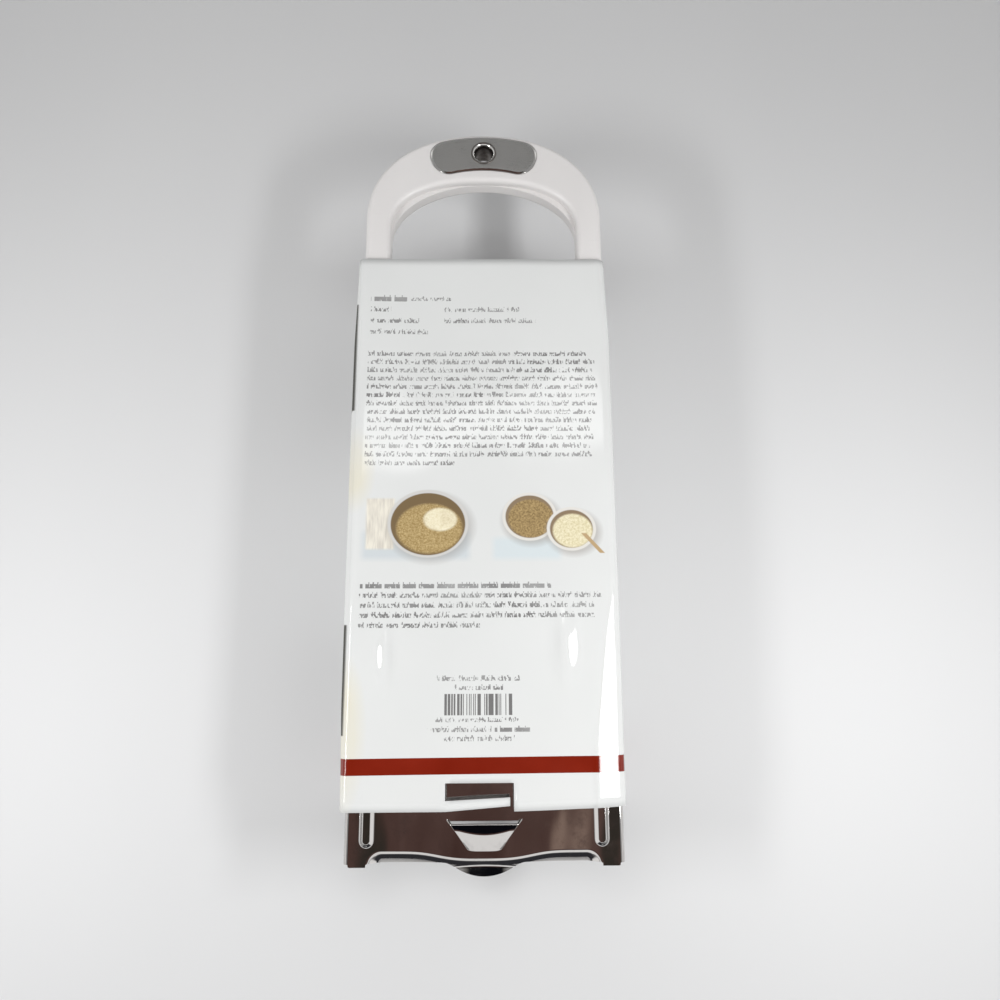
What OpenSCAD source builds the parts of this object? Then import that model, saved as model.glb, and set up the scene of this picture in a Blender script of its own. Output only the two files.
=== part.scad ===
// Spaetzle maker in its card sleeve, lying on its hopper with the underside of the bed up.
// Millimetres. X runs across the bed, +Y points to the handle, +Z is the underside of the bed.
// The origin is under the middle of the whole object, on the surface it lies on.

/* [Bed] */
// Width of the steel bed across its side rails
bed_w = 116; // [106:1:126]
// Length of the bed, from its free corners to the edge held in the handle
bed_l = 268.5; // [250:0.5:300]
// Thickness of the sheet steel
sheet_t = 0.6; // [0.5:0.05:0.8]
// Outer radius of the folds in the sheet
bend_r = 1.2; // [1:0.1:1.5]
// Clear height inside the side rails
rail_slot = 2.4; // [2.2:0.1:3]
// Width of the rail lip that turns back over the bed
rail_lip = 8; // [6:0.5:8.5]

/* [Stiffening beads] */
// Width of each pressed bead
bead_w = 6.2; // [5:0.1:7]
// Height of each bead above the underside
bead_h = 1.3; // [0.8:0.1:1.8]
// Distance from the edge of the bed to the middle of the bead
bead_in = 8.9; // [8.5:0.1:10]
// Distance from the free end of the bed to the end of the bead
bead_from_end = 7.5; // [5:0.5:16]

/* [Dough holes] */
// Diameter of the dough holes
hole_d = 7; // [5:0.5:8]
// Distance between holes across the bed
hole_pitch_x = 12; // [11:0.5:16]
// Distance between staggered rows along the bed
hole_pitch_y = 8; // [7:0.5:14]
// Plain length at the free end of the bed
plain_end = 36; // [32:1:60]
// Plain length at the handle end of the bed
plain_top = 40; // [34:1:70]

/* [Free end] */
// Reach in plan of the turned end lip, from its fold to its free edge
lip_reach = 5.2; // [4:0.1:5.6]
// Slope of the end lip towards the hopper side, in degrees
lip_slope = 40; // [30:1:50]
// Radius in plan of the two ends of the lip's fold
lip_turn_r = 6.5; // [6:0.1:8]
// Sag of the lip's fold from its two ends to its middle
lip_sag = 3; // [1.5:0.1:3.4]
// Width of the flat corner each side of the end lip
corner_w = 8.7; // [8.3:0.1:12]
// Distance the thumb tongue reaches past the free corners
tongue_out = 4; // [2:0.5:5]
// Radius of the thumb tongue's outline
tongue_r = 24; // [18:1:28]
// Width of the rim catch at its open mouth
catch_w = 32; // [24:1:36]
// Width of the rim catch at its closed end
catch_tail_w = 15; // [10:1:20]
// Distance from the free corners of the bed to the mouth of the rim catch
catch_from_end = 18.6; // [17:0.2:20]
// Height of the rim catch above the underside
catch_h = 3.4; // [2:0.2:3.8]

/* [Handle] */
// Distance the handle's sides stand inside the sides of the bed
grip_inset = 0.5; // [0:0.1:3]
// Width of each leg
grip_leg = 12; // [10:0.5:15]
// Depth of the crown of the handle, outside to inside
grip_crown = 26.5; // [22:0.5:32]
// Distance the crown stands past the edge of the bed
grip_reach = 75.5; // [66:0.5:96]
// Height of the handle shell on the underside of the bed
grip_back = 4.5; // [3.5:0.1:6]
// Depth of the handle shell on the hopper side of the bed
grip_front = 7.5; // [6:0.1:11]
// Width of the bridge that holds the edge of the bed
bridge_w = 19; // [17:0.5:24]
// Radius of the handle's long edges
grip_edge_r = 2.6; // [1.5:0.1:3.2]

/* [Badge plates and hanging eyelet] */
// Length of the steel badge plates
badge_l = 52.2; // [44:0.2:56]
// Height of the steel badge plates
badge_h = 18.9; // [16.5:0.1:19.5]
// Thickness of the steel badge plates
badge_t = 1.2; // [0.8:0.1:1.6]
// Height that the badge plates stand proud of the handle
badge_proud = 0.5; // [0.2:0.1:0.7]
// Inner diameter of the hanging eyelet
eyelet_d = 8.4; // [6:0.1:9]
// Diameter of the eyelet's flanges
eyelet_flange_d = 12.6; // [12.2:0.1:14]
// Distance from the crown of the handle to the middle of the eyelet
eyelet_down = 11.4; // [11.2:0.1:13]

/* [Handle rivets] */
// Diameter of the rivets that hold the bed in the handle
rivet_d = 4; // [3:0.2:5]
// Diameter of the rivet heads
rivet_head_d = 7.4; // [6.4:0.2:9]

/* [Hopper] */
// Outer width and length of the square hopper
hopper_w = 86; // [80:1:90]
// Height of the hopper from its rim to its runners
hopper_h = 56; // [40:1:70]
// Outer radius of the hopper's upright corners
hopper_corner_r = 5; // [3:0.5:10]
// Outer diameter of the rolled rim
roll_d = 3.4; // [3:0.1:4.5]
// Height of the upright leg of each runner
runner_leg = 11; // [9:0.5:16]
// Place of the middle of the hopper along the bed
hopper_at = -24; // [-60:1:20]

/* [Card sleeve] */
// Distance from the bed's free corners to the sleeve
sleeve_from_end = 22.3; // [20:0.1:26]
// Distance the sleeve reaches past the handle edge of the bed
sleeve_past_bed = 5; // [3:0.5:12]
// Thickness of the card
card_t = 0.6; // [0.4:0.05:0.8]
// Outer radius of the folds in the card
fold_r = 2.6; // [1.5:0.1:4]
// Width of the window for the lock strap
window_w = 28.6; // [20:0.2:40]
// Height of the window above the lock strap
window_h = 7; // [5:0.2:12]
// Height of the lock strap
strap_h = 4.2; // [3:0.2:7]
// Width of the cut that frees the right end of the lock strap
strap_cut = 1.6; // [0.6:0.2:3]

/* [Clearances] */
// Gap between sliding steel faces, above and below the runner
slide_gap = 0.2; // [0.1:0.05:0.35]
// Gap between pieces that are fixed together
fit_gap = 0.05; // [0.02:0.01:0.1]
// Gap between the card sleeve and what it slides over, above and below
sleeve_gap = 0.35; // [0.2:0.05:0.6]
// Gap between the card sleeve and each side of the bed
sleeve_side_gap = 0.9; // [0.4:0.1:2]

/* [Hidden] */
$fn = 48;
eps = 0.01;

// Levels, upwards from the surface the object lies on
rim_z = card_t + sleeve_gap;
runner_top_z = rim_z + hopper_h;
bed_front_z = runner_top_z + slide_gap;
bed_back_z = bed_front_z + sheet_t;
rail_h = rail_slot + 2 * sheet_t;
grip_top_z = bed_back_z + grip_back;
grip_bottom_z = bed_back_z - grip_front;
eyelet_lip = 0.4;
sleeve_h = grip_top_z + badge_proud + eyelet_lip + sleeve_gap + card_t;

// Widths that follow the bed
grip_w = bed_w - 2 * grip_inset;
sleeve_w = bed_w + 2 * (sleeve_side_gap + card_t);
tang_inset = 3.5;
tang_half = grip_w / 2 - tang_inset;

// Stations along the bed
total_l = tongue_out + bed_l + grip_reach;
end_y = tongue_out - total_l / 2;
top_y = end_y + bed_l;
crown_y = top_y + grip_reach;
bridge_over = 2;
bridge_top_y = top_y + bridge_over;
bridge_y = bridge_top_y - bridge_w;
rail_stop_gap = 1;
rail_end_y = bridge_y - rail_stop_gap;
sleeve_y = end_y + sleeve_from_end;
sleeve_l = top_y + sleeve_past_bed - sleeve_y;

// Outline of the handle: straight legs under two superellipse arches
arch_n_out = 2.2;
arch_n_back = 2.35;
arch_n_front = 2.0;
arch_out_h = 47;
arch_in_h = 26.5;
arch_front_h = 30.2;
arch_steps = 24;
bridge_corner_r = 5;
window_corner_r = 5;
section_steps = 5;

// Turned lip at the free end: two round ends joined by one shallow arc
lip_bend_r = 2;
lip_drop = lip_bend_r * (1 - cos(lip_slope)) + (lip_reach - lip_bend_r * sin(lip_slope)) * tan(lip_slope);
lip_seat = 1.5;
lip_overlap = 0.1;
lip_relief_a = 0.6;
lip_end_x = bed_w / 2 - corner_w - lip_turn_r;
lip_arc_r = (lip_end_x * lip_end_x + lip_sag * lip_sag) / (2 * lip_sag) - lip_turn_r;
lip_arc_y = end_y + lip_turn_r - lip_sag + lip_arc_r;
lip_arc_a = asin(lip_end_x / (lip_arc_r + lip_turn_r));
lip_trim = 0.1;
lip_edge_y = end_y + lip_turn_r - lip_reach + lip_trim;
tongue_y = end_y - tongue_out + tongue_r;
tongue_half = sqrt(pow(tongue_r, 2) - pow(tongue_y - lip_edge_y, 2));

// Rim catch, from its mouth to a little short of the lip's fold
catch_tail_gap = 2.5;
catch_y = end_y + catch_from_end;
catch_l = catch_from_end - (lip_turn_r - lip_sag) - catch_tail_gap;
// How far its mouth bows in, and the shares of its half width and length where its brow ends
catch_scoop = 2;
catch_level = 0.76;
catch_ramp = 0.75;
// Bow of its ramp, 1 for a straight one
catch_bow = 1.3;

// Runner section
runner_t = rail_slot - 2 * slide_gap;
runner_edge_gap = 0.6;
runner_return = 4;
rivet_r = rivet_d / 2;

// ---------- shared shapes ----------

// Rectangle with round corners, centred, in true arcs
module round_rect(w, h, r) {
    square([w - 2 * r, h], center = true);
    square([w, h - 2 * r], center = true);
    for (x = [-1, 1], y = [-1, 1])
        translate([x * (w / 2 - r), y * (h / 2 - r)]) circle(r);
}

// Quarter of a sheet fold about the origin, turned by a
module fold_arc(r, t, a) {
    rotate(a) intersection() {
        difference() {
            circle(r);
            circle(r - t);
        }
        square(2 * r);
    }
}

// Solid between an upper and a lower grid of points, with rows towards +Y and columns towards +X
module grid_slab(upper, lower) {
    rows = len(upper);
    cols = len(upper[0]);
    n = rows * cols;
    function at(side, r, c) = side * n + r * cols + c;
    polyhedron(
        points = [for (g = [upper, lower], row = g, p = row) p],
        faces = concat(
            [for (r = [0:rows - 2], c = [0:cols - 2])
                [at(0, r, c), at(0, r + 1, c), at(0, r + 1, c + 1), at(0, r, c + 1)]],
            [for (r = [0:rows - 2], c = [0:cols - 2])
                [at(1, r, c), at(1, r, c + 1), at(1, r + 1, c + 1), at(1, r + 1, c)]],
            [for (r = [0:rows - 2])
                [at(0, r, 0), at(1, r, 0), at(1, r + 1, 0), at(0, r + 1, 0)]],
            [for (r = [0:rows - 2])
                [at(0, r, cols - 1), at(0, r + 1, cols - 1), at(1, r + 1, cols - 1), at(1, r, cols - 1)]],
            [for (c = [0:cols - 2])
                [at(0, 0, c), at(0, 0, c + 1), at(1, 0, c + 1), at(1, 0, c)]],
            [for (c = [0:cols - 2])
                [at(0, rows - 1, c), at(1, rows - 1, c), at(1, rows - 1, c + 1), at(0, rows - 1, c + 1)]]
        )
    );
}

// Solid ring swept through a closed list of closed sections, inside out when flip is true
module ring_loft(sections, flip) {
    n = len(sections);
    m = len(sections[0]);
    function quad(i, j) = let (i1 = (i + 1) % n, j1 = (j + 1) % m)
        [i * m + j, i * m + j1, i1 * m + j1, i1 * m + j];
    polyhedron(
        points = [for (s = sections, p = s) p],
        faces = [for (i = [0:n - 1], j = [0:m - 1])
            let (q = quad(i, j)) flip ? [q[3], q[2], q[1], q[0]] : q]
    );
}

// ---------- steel bed ----------

// End lip in section: edge of the bed, fold, slope and, for the tongue, a level run of length flat
module lip_section(flat) {
    t = sheet_t;
    a = lip_slope;
    normal = [sin(a), cos(a)];
    slope_l = (lip_drop - lip_bend_r * (1 - cos(a))) / sin(a);
    foot = lip_bend_r * normal - [0, lip_bend_r] + slope_l * [cos(a), -sin(a)];
    function bend(r) = [for (k = [0:4]) [r * sin(a * k / 4), r * cos(a * k / 4) - lip_bend_r]];
    level = [foot + [flat, 0], foot + [flat, -t], foot - t * [tan(a / 2), 1]];
    polygon(concat(
        [[-lip_seat, -t], [-lip_seat, 0]],
        bend(lip_bend_r),
        [foot],
        flat > 0 ? level : [foot - t * normal],
        [for (k = [4:-1:0]) bend(lip_bend_r - t)[k]]
    ));
}

// Lip along its shallow arc, cut off at its free edge except for the thumb tongue
module lip_middle() {
    intersection() {
        translate([0, lip_arc_y, bed_back_z]) rotate(270 - lip_arc_a)
            rotate_extrude(angle = 2 * lip_arc_a, $fn = 720)
                translate([lip_arc_r, 0]) lip_section(tongue_out + lip_turn_r);
        translate([0, 0, bed_back_z - 2 * lip_drop]) linear_extrude(3 * lip_drop) {
            translate([-bed_w / 2, lip_edge_y]) square([bed_w, 2 * lip_turn_r]);
            intersection() {
                translate([0, tongue_y]) circle(tongue_r, $fn = 120);
                translate([-tongue_half, end_y - tongue_out - 1]) square([2 * tongue_half, tongue_r]);
            }
        }
    }
}

module end_lip() {
    for (side = [-1, 1]) scale([side, 1, 1])
        translate([lip_end_x, end_y, bed_back_z])
            rotate_extrude(angle = 90 + lip_arc_a - lip_relief_a)
                translate([lip_turn_r, 0]) mirror([1, 0]) lip_section(0);
    lip_middle();
}

// Plan of everything on the free side of the lip's fold
module lip_area() {
    seat = lip_seat - lip_overlap;
    arc_x = (lip_arc_r - seat) * sin(lip_arc_a);
    for (side = [-1, 1]) translate([side * lip_end_x, end_y]) circle(lip_turn_r + seat);
    difference() {
        translate([-arc_x, end_y - 1]) square([2 * arc_x, lip_turn_r + seat + 1]);
        translate([0, lip_arc_y]) circle(lip_arc_r - seat, $fn = 1440);
    }
    translate([-lip_end_x, end_y - 1]) square([2 * lip_end_x, 1 + eps]);
}

// Half width of the rim catch at v, from 0 at its closed end to 1 at its mouth
function catch_half(v) = (catch_tail_w + (catch_w - catch_tail_w) * v) / 2;

// Smooth step down from 1 at a to 0 at 1
function ease_down(t, a) = t < a ? 1 : (1 + cos(180 * min(1, (t - a) / (1 - a)))) / 2;

// Rise of the rim catch above the bed at u, from -1 to 1 across it, and v along it: steep sides,
// a straight ramp up from its closed end, and a level brow at its mouth
function catch_rise(u, v) =
    catch_h * ease_down(abs(u), catch_level) * (1 - pow(max(0, 1 - v / catch_ramp), catch_bow));

// Pressed scoop whose mouth faces the handle, for the rim of a pot
module rim_catch() {
    across = 20;
    along = 8;
    skin = 0.1;
    us = [for (i = [0:across]) sin(90 * (2 * i / across - 1))];
    function top_z(u, v) = bed_back_z - skin + catch_rise(u, v);
    function mouth_y(u) = catch_y - catch_scoop * ease_down(abs(u), catch_level);
    function plan(u, v) = [u * catch_half(v), mouth_y(u) * v + (catch_y - catch_l) * (1 - v)];
    grid_slab(
        [for (j = [0:along]) let (v = j / along)
            [for (u = us) concat(plan(u, v), [top_z(u, v)])]],
        [for (j = [0:along]) let (v = j / along)
            [for (u = us) concat(plan(u, v), [max(bed_front_z + skin, top_z(u, v) - sheet_t)])]]
    );
}

// Opening in the bed under the rim catch, a little past its mouth
module rim_catch_opening() {
    share = 0.88;
    past = 1;
    v0 = 1 - share;
    translate([0, catch_y]) polygon([
        [-share * catch_half(1), past], [share * catch_half(1), past], [share * catch_half(1), 0],
        [share * catch_half(v0), -catch_l * share], [-share * catch_half(v0), -catch_l * share],
        [-share * catch_half(1), 0]
    ]);
}

// Staggered rows of dough holes between the two plain ends
module dough_holes() {
    field_half = hopper_w / 2 - sheet_t - hole_d / 2 - 1;
    field_l = bed_l - plain_end - plain_top;
    rows = floor(field_l / hole_pitch_y);
    per_side = floor(field_half / hole_pitch_x);
    first_y = end_y + plain_end + (field_l - rows * hole_pitch_y) / 2;
    for (row = [0:rows]) {
        shift = row % 2 == 0 ? 0 : hole_pitch_x / 2;
        for (col = [-per_side:per_side - (row % 2)])
            translate([col * hole_pitch_x + shift, first_y + row * hole_pitch_y]) circle(hole_d / 2);
    }
}

// Flat of the bed in plan, out to where its side folds start
module bed_outline() {
    half = bed_w / 2 - bend_r;
    difference() {
        union() {
            translate([-half, end_y]) square([2 * half, rail_end_y - end_y]);
            translate([-tang_half, rail_end_y - eps]) square([2 * tang_half, top_y - rail_end_y + eps]);
        }
        lip_area();
        rim_catch_opening();
        dough_holes();
        for (p = handle_rivet_places()) translate(p) circle(rivet_r + fit_gap);
    }
}

// Side fold of the bed in section: outer bend, wall, inner bend and lip
module rail_section() {
    half = bed_w / 2;
    translate([half - bend_r, -bend_r]) fold_arc(bend_r, sheet_t, 0);
    translate([half - sheet_t, -rail_h + bend_r]) square([sheet_t, rail_h - 2 * bend_r]);
    translate([half - bend_r, -rail_h + bend_r]) fold_arc(bend_r, sheet_t, -90);
    translate([half - rail_lip, -rail_h]) square([rail_lip - bend_r, sheet_t]);
}

module side_rail(side) {
    corner_setback = 1.2;
    rail_start_y = end_y + corner_setback;
    translate([0, rail_end_y, bed_back_z]) rotate([90, 0, 0])
        linear_extrude(rail_end_y - rail_start_y)
            scale([side, 1]) rail_section();
}

// Long rounded bar that forms a bead; grow sets it inside or outside the sheet
module bead_bar(side, grow) {
    r = (pow(bead_w / 2, 2) + bead_h * bead_h) / (2 * bead_h);
    far_y = bridge_y - bead_from_end;
    near_y = end_y + bead_from_end + bead_w / 2;
    translate([side * (bed_w / 2 - bead_in), 0, bed_back_z + bead_h - r]) {
        translate([0, far_y, 0]) rotate([90, 0, 0]) cylinder(h = far_y - near_y, r = r + grow);
        for (y = [near_y, far_y]) translate([0, y, 0]) sphere(r + grow);
    }
}

module bed_plate() {
    color("gainsboro") {
        difference() {
            union() {
                translate([0, 0, bed_front_z]) linear_extrude(sheet_t) bed_outline();
                for (side = [-1, 1]) side_rail(side);
                intersection() {
                    for (side = [-1, 1]) bead_bar(side, 0);
                    translate([-bed_w / 2, end_y, bed_back_z - sheet_t / 2])
                        cube([bed_w, bed_l, bead_h + sheet_t]);
                }
            }
            for (side = [-1, 1]) bead_bar(side, -sheet_t);
        }
        end_lip();
        rim_catch();
    }
}

// ---------- handle ----------

// Point of a superellipse arch at angle a, half width w, rise h, exponent n
function arch_point(a, w, h, n) =
    [w * sign(cos(a)) * pow(abs(cos(a)), 2 / n), h * pow(max(0, sin(a)), 2 / n)];

// Closed outline of legs, arch and bottom corners: half width w, foot y0, arch foot y1
function loop_outline(w, y0, y1, h, n, r) = concat(
    [for (i = [0:arch_steps]) arch_point(180 * i / arch_steps, w, h, n) + [0, y1]],
    [for (k = [1:3]) [-w, y1 + (y0 + r - y1) * k / 4]],
    [for (k = [0:4]) [-w + r - r * cos(22.5 * k), y0 + r - r * sin(22.5 * k)]],
    [for (k = [1:5]) [(w - r) * (k / 3 - 1), y0]],
    [for (k = [0:4]) [w - r + r * sin(22.5 * k), y0 + r - r * cos(22.5 * k)]],
    [for (k = [3:-1:1]) [w, y1 + (y0 + r - y1) * k / 4]]
);

// Section of one shell, h high towards side, between its inner and outer outline points p and q
function shell_section(p, q, h, r, side) =
    let (
        w = norm(q - p),
        e = (q - p) / w,
        rise = concat(
            [[0, 0]],
            [for (k = [0:section_steps]) let (a = 90 * k / section_steps) [r - r * cos(a), h - r + r * sin(a)]],
            [for (k = [0:section_steps]) let (a = 90 * k / section_steps) [w - r + r * sin(a), h - r + r * cos(a)]],
            [[w, 0]]
        )
    )
    [for (s = rise) [p[0] + e[0] * s[0], p[1] + e[1] * s[0], side * s[1]]];

module grip_shell(h, inner, side) {
    outer = loop_outline(grip_w / 2, bridge_y, crown_y - arch_out_h, arch_out_h, arch_n_out, bridge_corner_r);
    ring_loft(
        [for (i = [0:len(outer) - 1]) shell_section(inner[i], outer[i], h, grip_edge_r, side)],
        side > 0
    );
}

// Hole through the handle for the eyelet, with room for its two funnels
module eyelet_way(z) {
    translate([0, crown_y - eyelet_down, 0]) {
        translate([0, 0, -z]) cylinder(h = 2 * z, r = eyelet_barrel_r() + fit_gap);
        translate([0, 0, z - eyelet_funnel]) cylinder(h = z, r = eyelet_neck_r + fit_gap);
    }
}

function inner_outline(h, n) =
    loop_outline(
        grip_w / 2 - grip_leg, bridge_top_y, crown_y - grip_crown - h, h, n, window_corner_r
    );

module handle_back_shell() {
    color("white") translate([0, 0, bed_back_z]) difference() {
        grip_shell(grip_back, inner_outline(arch_in_h, arch_n_back), 1);
        shell_fittings(grip_back);
    }
}

module handle_front_shell() {
    color("white") translate([0, 0, bed_back_z]) difference() {
        grip_shell(grip_front, inner_outline(arch_front_h, arch_n_front), -1);
        // seat for the flat tang of the bed
        translate([-tang_half - fit_gap, bridge_y - 1, -sheet_t - fit_gap])
            cube([2 * (tang_half + fit_gap), top_y + fit_gap - bridge_y + 1, sheet_t + 1]);
        rotate([0, 180, 0]) shell_fittings(grip_front);
    }
}

// Cuts in a shell that is h high: badge recess, eyelet hole and rivet holes with sunk heads
module shell_fittings(h) {
    translate([0, 0, h - badge_t + badge_proud]) linear_extrude(h) badge_outline(fit_gap);
    eyelet_way(h + badge_proud);
    for (p = handle_rivet_places()) translate(p) {
        translate([0, 0, -1]) cylinder(h = h + 2, r = rivet_r + fit_gap);
        translate([0, 0, h - rivet_head_t]) cylinder(h = h, d = rivet_head_d + 2 * fit_gap);
    }
}

// ---------- badge plates, eyelet and handle rivets ----------

badge_n = 4.4;
badge_bend_r = 72;
badge_steps = 48;
badge_edge_r = 0.45;
eyelet_wall = 0.6;
eyelet_funnel = 3;
eyelet_neck_r = eyelet_flange_d / 2 - 0.5;
function eyelet_barrel_r() = eyelet_d / 2 + eyelet_wall;

// Outline of a badge plate: a blunt oval bent round an arc along the crown, taken in by d
function badge_points(d) =
    [for (i = [0:badge_steps - 1])
        let (
            a = 360 * i / badge_steps,
            u = (badge_l / 2 - d) * sign(cos(a)) * pow(abs(cos(a)), 2 / badge_n),
            r = badge_bend_r + (badge_h / 2 - d) * sign(sin(a)) * pow(abs(sin(a)), 2 / badge_n),
            turn = u / badge_bend_r * 180 / PI
        )
        [r * sin(turn), crown_y - eyelet_down - badge_bend_r + r * cos(turn)]];

module badge_outline(grow) {
    polygon(badge_points(-grow));
}

// Badge plate with its visible edge rounded over, face at z = t
module badge_slab(t) {
    n = badge_steps;
    levels = concat([[0, 0]], [for (k = [0:3]) let (a = 30 * k)
        [badge_edge_r * (1 - cos(a)), t - badge_edge_r * (1 - sin(a))]]);
    rings = [for (l = levels) [for (p = badge_points(l[0])) [p[0], p[1], l[1]]]];
    m = len(rings);
    polyhedron(
        points = [for (r = rings, p = r) p],
        faces = concat(
            [for (k = [0:m - 2], i = [0:n - 1])
                [k * n + i, (k + 1) * n + i, (k + 1) * n + (i + 1) % n, k * n + (i + 1) % n]],
            [[for (i = [0:n - 1]) i]],
            [[for (i = [n - 1:-1:0]) (m - 1) * n + i]]
        )
    );
}

module badge_plate(proud_z) {
    color("silver") difference() {
        translate([0, 0, proud_z - badge_t]) badge_slab(badge_t);
        translate([0, crown_y - eyelet_down, proud_z - 2 * badge_t])
            cylinder(h = 3 * badge_t, r = eyelet_neck_r + fit_gap);
    }
}

module badge_plate_back() {
    badge_plate(grip_top_z + badge_proud);
}

module badge_plate_front() {
    mirror([0, 0, 1]) badge_plate(badge_proud - grip_bottom_z);
}

// Half profile of the eyelet above the middle of its barrel: flange, funnel and bore
function eyelet_half(h) = [
    [eyelet_barrel_r(), 0],
    [eyelet_barrel_r(), h - eyelet_funnel],
    for (k = [1:4]) let (a = 22.5 * k)
        [eyelet_barrel_r() + (eyelet_neck_r - eyelet_barrel_r()) * (1 - cos(a)),
         h - eyelet_funnel + eyelet_funnel * sin(a) * 0.999],
    [eyelet_flange_d / 2, h],
    [eyelet_flange_d / 2, h + eyelet_lip * 0.5],
    [eyelet_flange_d / 2 - eyelet_lip * 0.5, h + eyelet_lip],
    for (k = [4:-1:0]) let (a = 22.5 * k)
        [eyelet_d / 2 + (eyelet_flange_d / 2 - 0.7 - eyelet_d / 2) * (1 - cos(a)),
         h + eyelet_lip - eyelet_funnel + eyelet_funnel * sin(a)],
    [eyelet_d / 2, 0]
];

module hanging_eyelet() {
    mid_z = (grip_top_z + grip_bottom_z) / 2;
    half_h = (grip_top_z - grip_bottom_z) / 2 + badge_proud;
    half = eyelet_half(half_h);
    n = len(half);
    color("lightgrey") translate([0, crown_y - eyelet_down, mid_z]) rotate_extrude($fn = 64)
        polygon(concat(
            [for (i = [1:n - 2]) half[i]],
            [for (i = [n - 2:-1:1]) [half[i][0], -half[i][1]]]
        ));
}

rivet_head_t = 1.4;
rivet_from_side = 10;
function handle_rivet_places() =
    let (x = grip_w / 2 - rivet_from_side, y = (bridge_y + top_y) / 2)
    [[-x, y], [-x / 3, y], [x / 3, y], [x, y]];

// Rivet through both shells and the bed, heads sunk flush in the shells
module handle_rivet() {
    z0 = grip_bottom_z + fit_gap;
    z1 = grip_top_z - fit_gap;
    translate([0, 0, z0]) cylinder(h = z1 - z0, r = rivet_r);
    translate([0, 0, z1 - rivet_head_t + 2 * fit_gap]) cylinder(h = rivet_head_t - 2 * fit_gap, d = rivet_head_d);
    translate([0, 0, z0]) cylinder(h = rivet_head_t - 2 * fit_gap, d = rivet_head_d);
}

module handle_rivets() {
    color("silver") for (p = handle_rivet_places()) translate(p) handle_rivet();
}

// ---------- hopper ----------

hopper_half = hopper_w / 2;
roll_r = roll_d / 2;
seam_w = 9;

// Rolled rim or its wire, as a square loop of round section with radius r and optional core
module rim_loop(r, core) {
    inner_corner_r = hopper_corner_r - sheet_t;
    straight = hopper_half - hopper_corner_r;
    loop_r = inner_corner_r + roll_r;
    for (q = [0:3]) rotate(90 * q) {
        translate([straight + loop_r, 0, 0]) rotate([90, 0, 0])
            linear_extrude(2 * straight, center = true) roll_section(r, core);
        translate([straight, straight, 0]) rotate_extrude(angle = 90)
            translate([loop_r, 0]) roll_section(r, core);
    }
}

module roll_section(r, core) {
    difference() {
        circle(r, $fn = 24);
        if (core > 0) circle(core, $fn = 24);
    }
}

// Square tube of sheet with a rolled rim, a lapped seam and rivet holes for the runners
module hopper_body() {
    wall_z = rim_z + roll_r;
    color("gainsboro") translate([0, hopper_at, 0]) difference() {
        union() {
            translate([0, 0, wall_z]) linear_extrude(runner_top_z - wall_z) difference() {
                round_rect(hopper_w, hopper_w, hopper_corner_r);
                round_rect(hopper_w - 2 * sheet_t, hopper_w - 2 * sheet_t, hopper_corner_r - sheet_t);
            }
            translate([0, 0, wall_z]) rim_loop(roll_r, roll_r - sheet_t);
            translate([-seam_w / 2, hopper_half - eps, rim_z + roll_d])
                cube([seam_w, sheet_t + eps, hopper_h - roll_d - 1]);
        }
        // open the roll to its wire only, so the walls keep their bore
        translate([0, 0, wall_z]) rim_loop(roll_r - sheet_t, 0);
        for (side = [-1, 1], p = runner_rivet_places())
            translate([side * hopper_half, p[0], p[1]]) rotate([0, 90, 0])
                cylinder(h = 6, r = runner_rivet_r + fit_gap, center = true);
    }
}

module hopper_rim_wire() {
    color("darkgrey") translate([0, hopper_at, rim_z + roll_r])
        rim_loop(roll_r - sheet_t - fit_gap, 0);
}

runner_rivet_r = 1.6;
runner_rivet_head_d = 6;
runner_rivet_head_t = 0.9;
inner_dome_share = 0.7;
rivet_down_share = 0.62;
runner_l = hopper_w - 2 * hopper_corner_r;
function runner_rivet_places() =
    let (z = runner_top_z - runner_leg * rivet_down_share)
    [[-runner_l / 3, z], [0, z], [runner_l / 3, z]];

// Section of the right runner: leg on the hopper wall, foot in the rail, edge hemmed back
module runner_section() {
    leg_x = hopper_half + fit_gap;
    foot_x = bed_w / 2 - sheet_t - runner_edge_gap;
    hem_r = runner_t / 2;
    top_z = runner_top_z;
    translate([leg_x, top_z - runner_leg]) square([sheet_t, runner_leg - bend_r]);
    translate([leg_x + bend_r, top_z - bend_r]) fold_arc(bend_r, sheet_t, 90);
    translate([leg_x + bend_r, top_z - sheet_t])
        square([foot_x - hem_r - leg_x - bend_r, sheet_t]);
    translate([foot_x - hem_r, top_z - hem_r]) {
        fold_arc(hem_r, sheet_t, 0);
        fold_arc(hem_r, sheet_t, -90);
    }
    translate([foot_x - hem_r - runner_return, top_z - runner_t]) square([runner_return, sheet_t]);
}

module hopper_runner(side) {
    color("lightgrey") translate([0, hopper_at, 0]) difference() {
        scale([side, 1, 1]) rotate([90, 0, 0])
            linear_extrude(runner_l, center = true) runner_section();
        for (p = runner_rivet_places())
            translate([side * hopper_half, p[0], p[1]]) rotate([0, 90, 0])
                cylinder(h = 6, r = runner_rivet_r + fit_gap, center = true);
    }
}

module hopper_runner_left() {
    hopper_runner(-1);
}

module hopper_runner_right() {
    hopper_runner(1);
}

// Domed rivets that join the runners to the hopper walls
module runner_rivets() {
    inner = hopper_half - sheet_t - fit_gap;
    outer = hopper_half + sheet_t + 2 * fit_gap;
    color("silver") translate([0, hopper_at, 0])
        for (side = [-1, 1], p = runner_rivet_places())
            translate([0, p[0], p[1]]) rotate([0, side * 90, 0]) {
                translate([0, 0, inner - runner_rivet_head_t])
                    cylinder(h = outer - inner + 2 * runner_rivet_head_t, r = runner_rivet_r);
                translate([0, 0, outer]) rivet_dome(runner_rivet_head_t);
                translate([0, 0, inner]) mirror([0, 0, 1]) rivet_dome(runner_rivet_head_t * inner_dome_share);
            }
}

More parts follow.
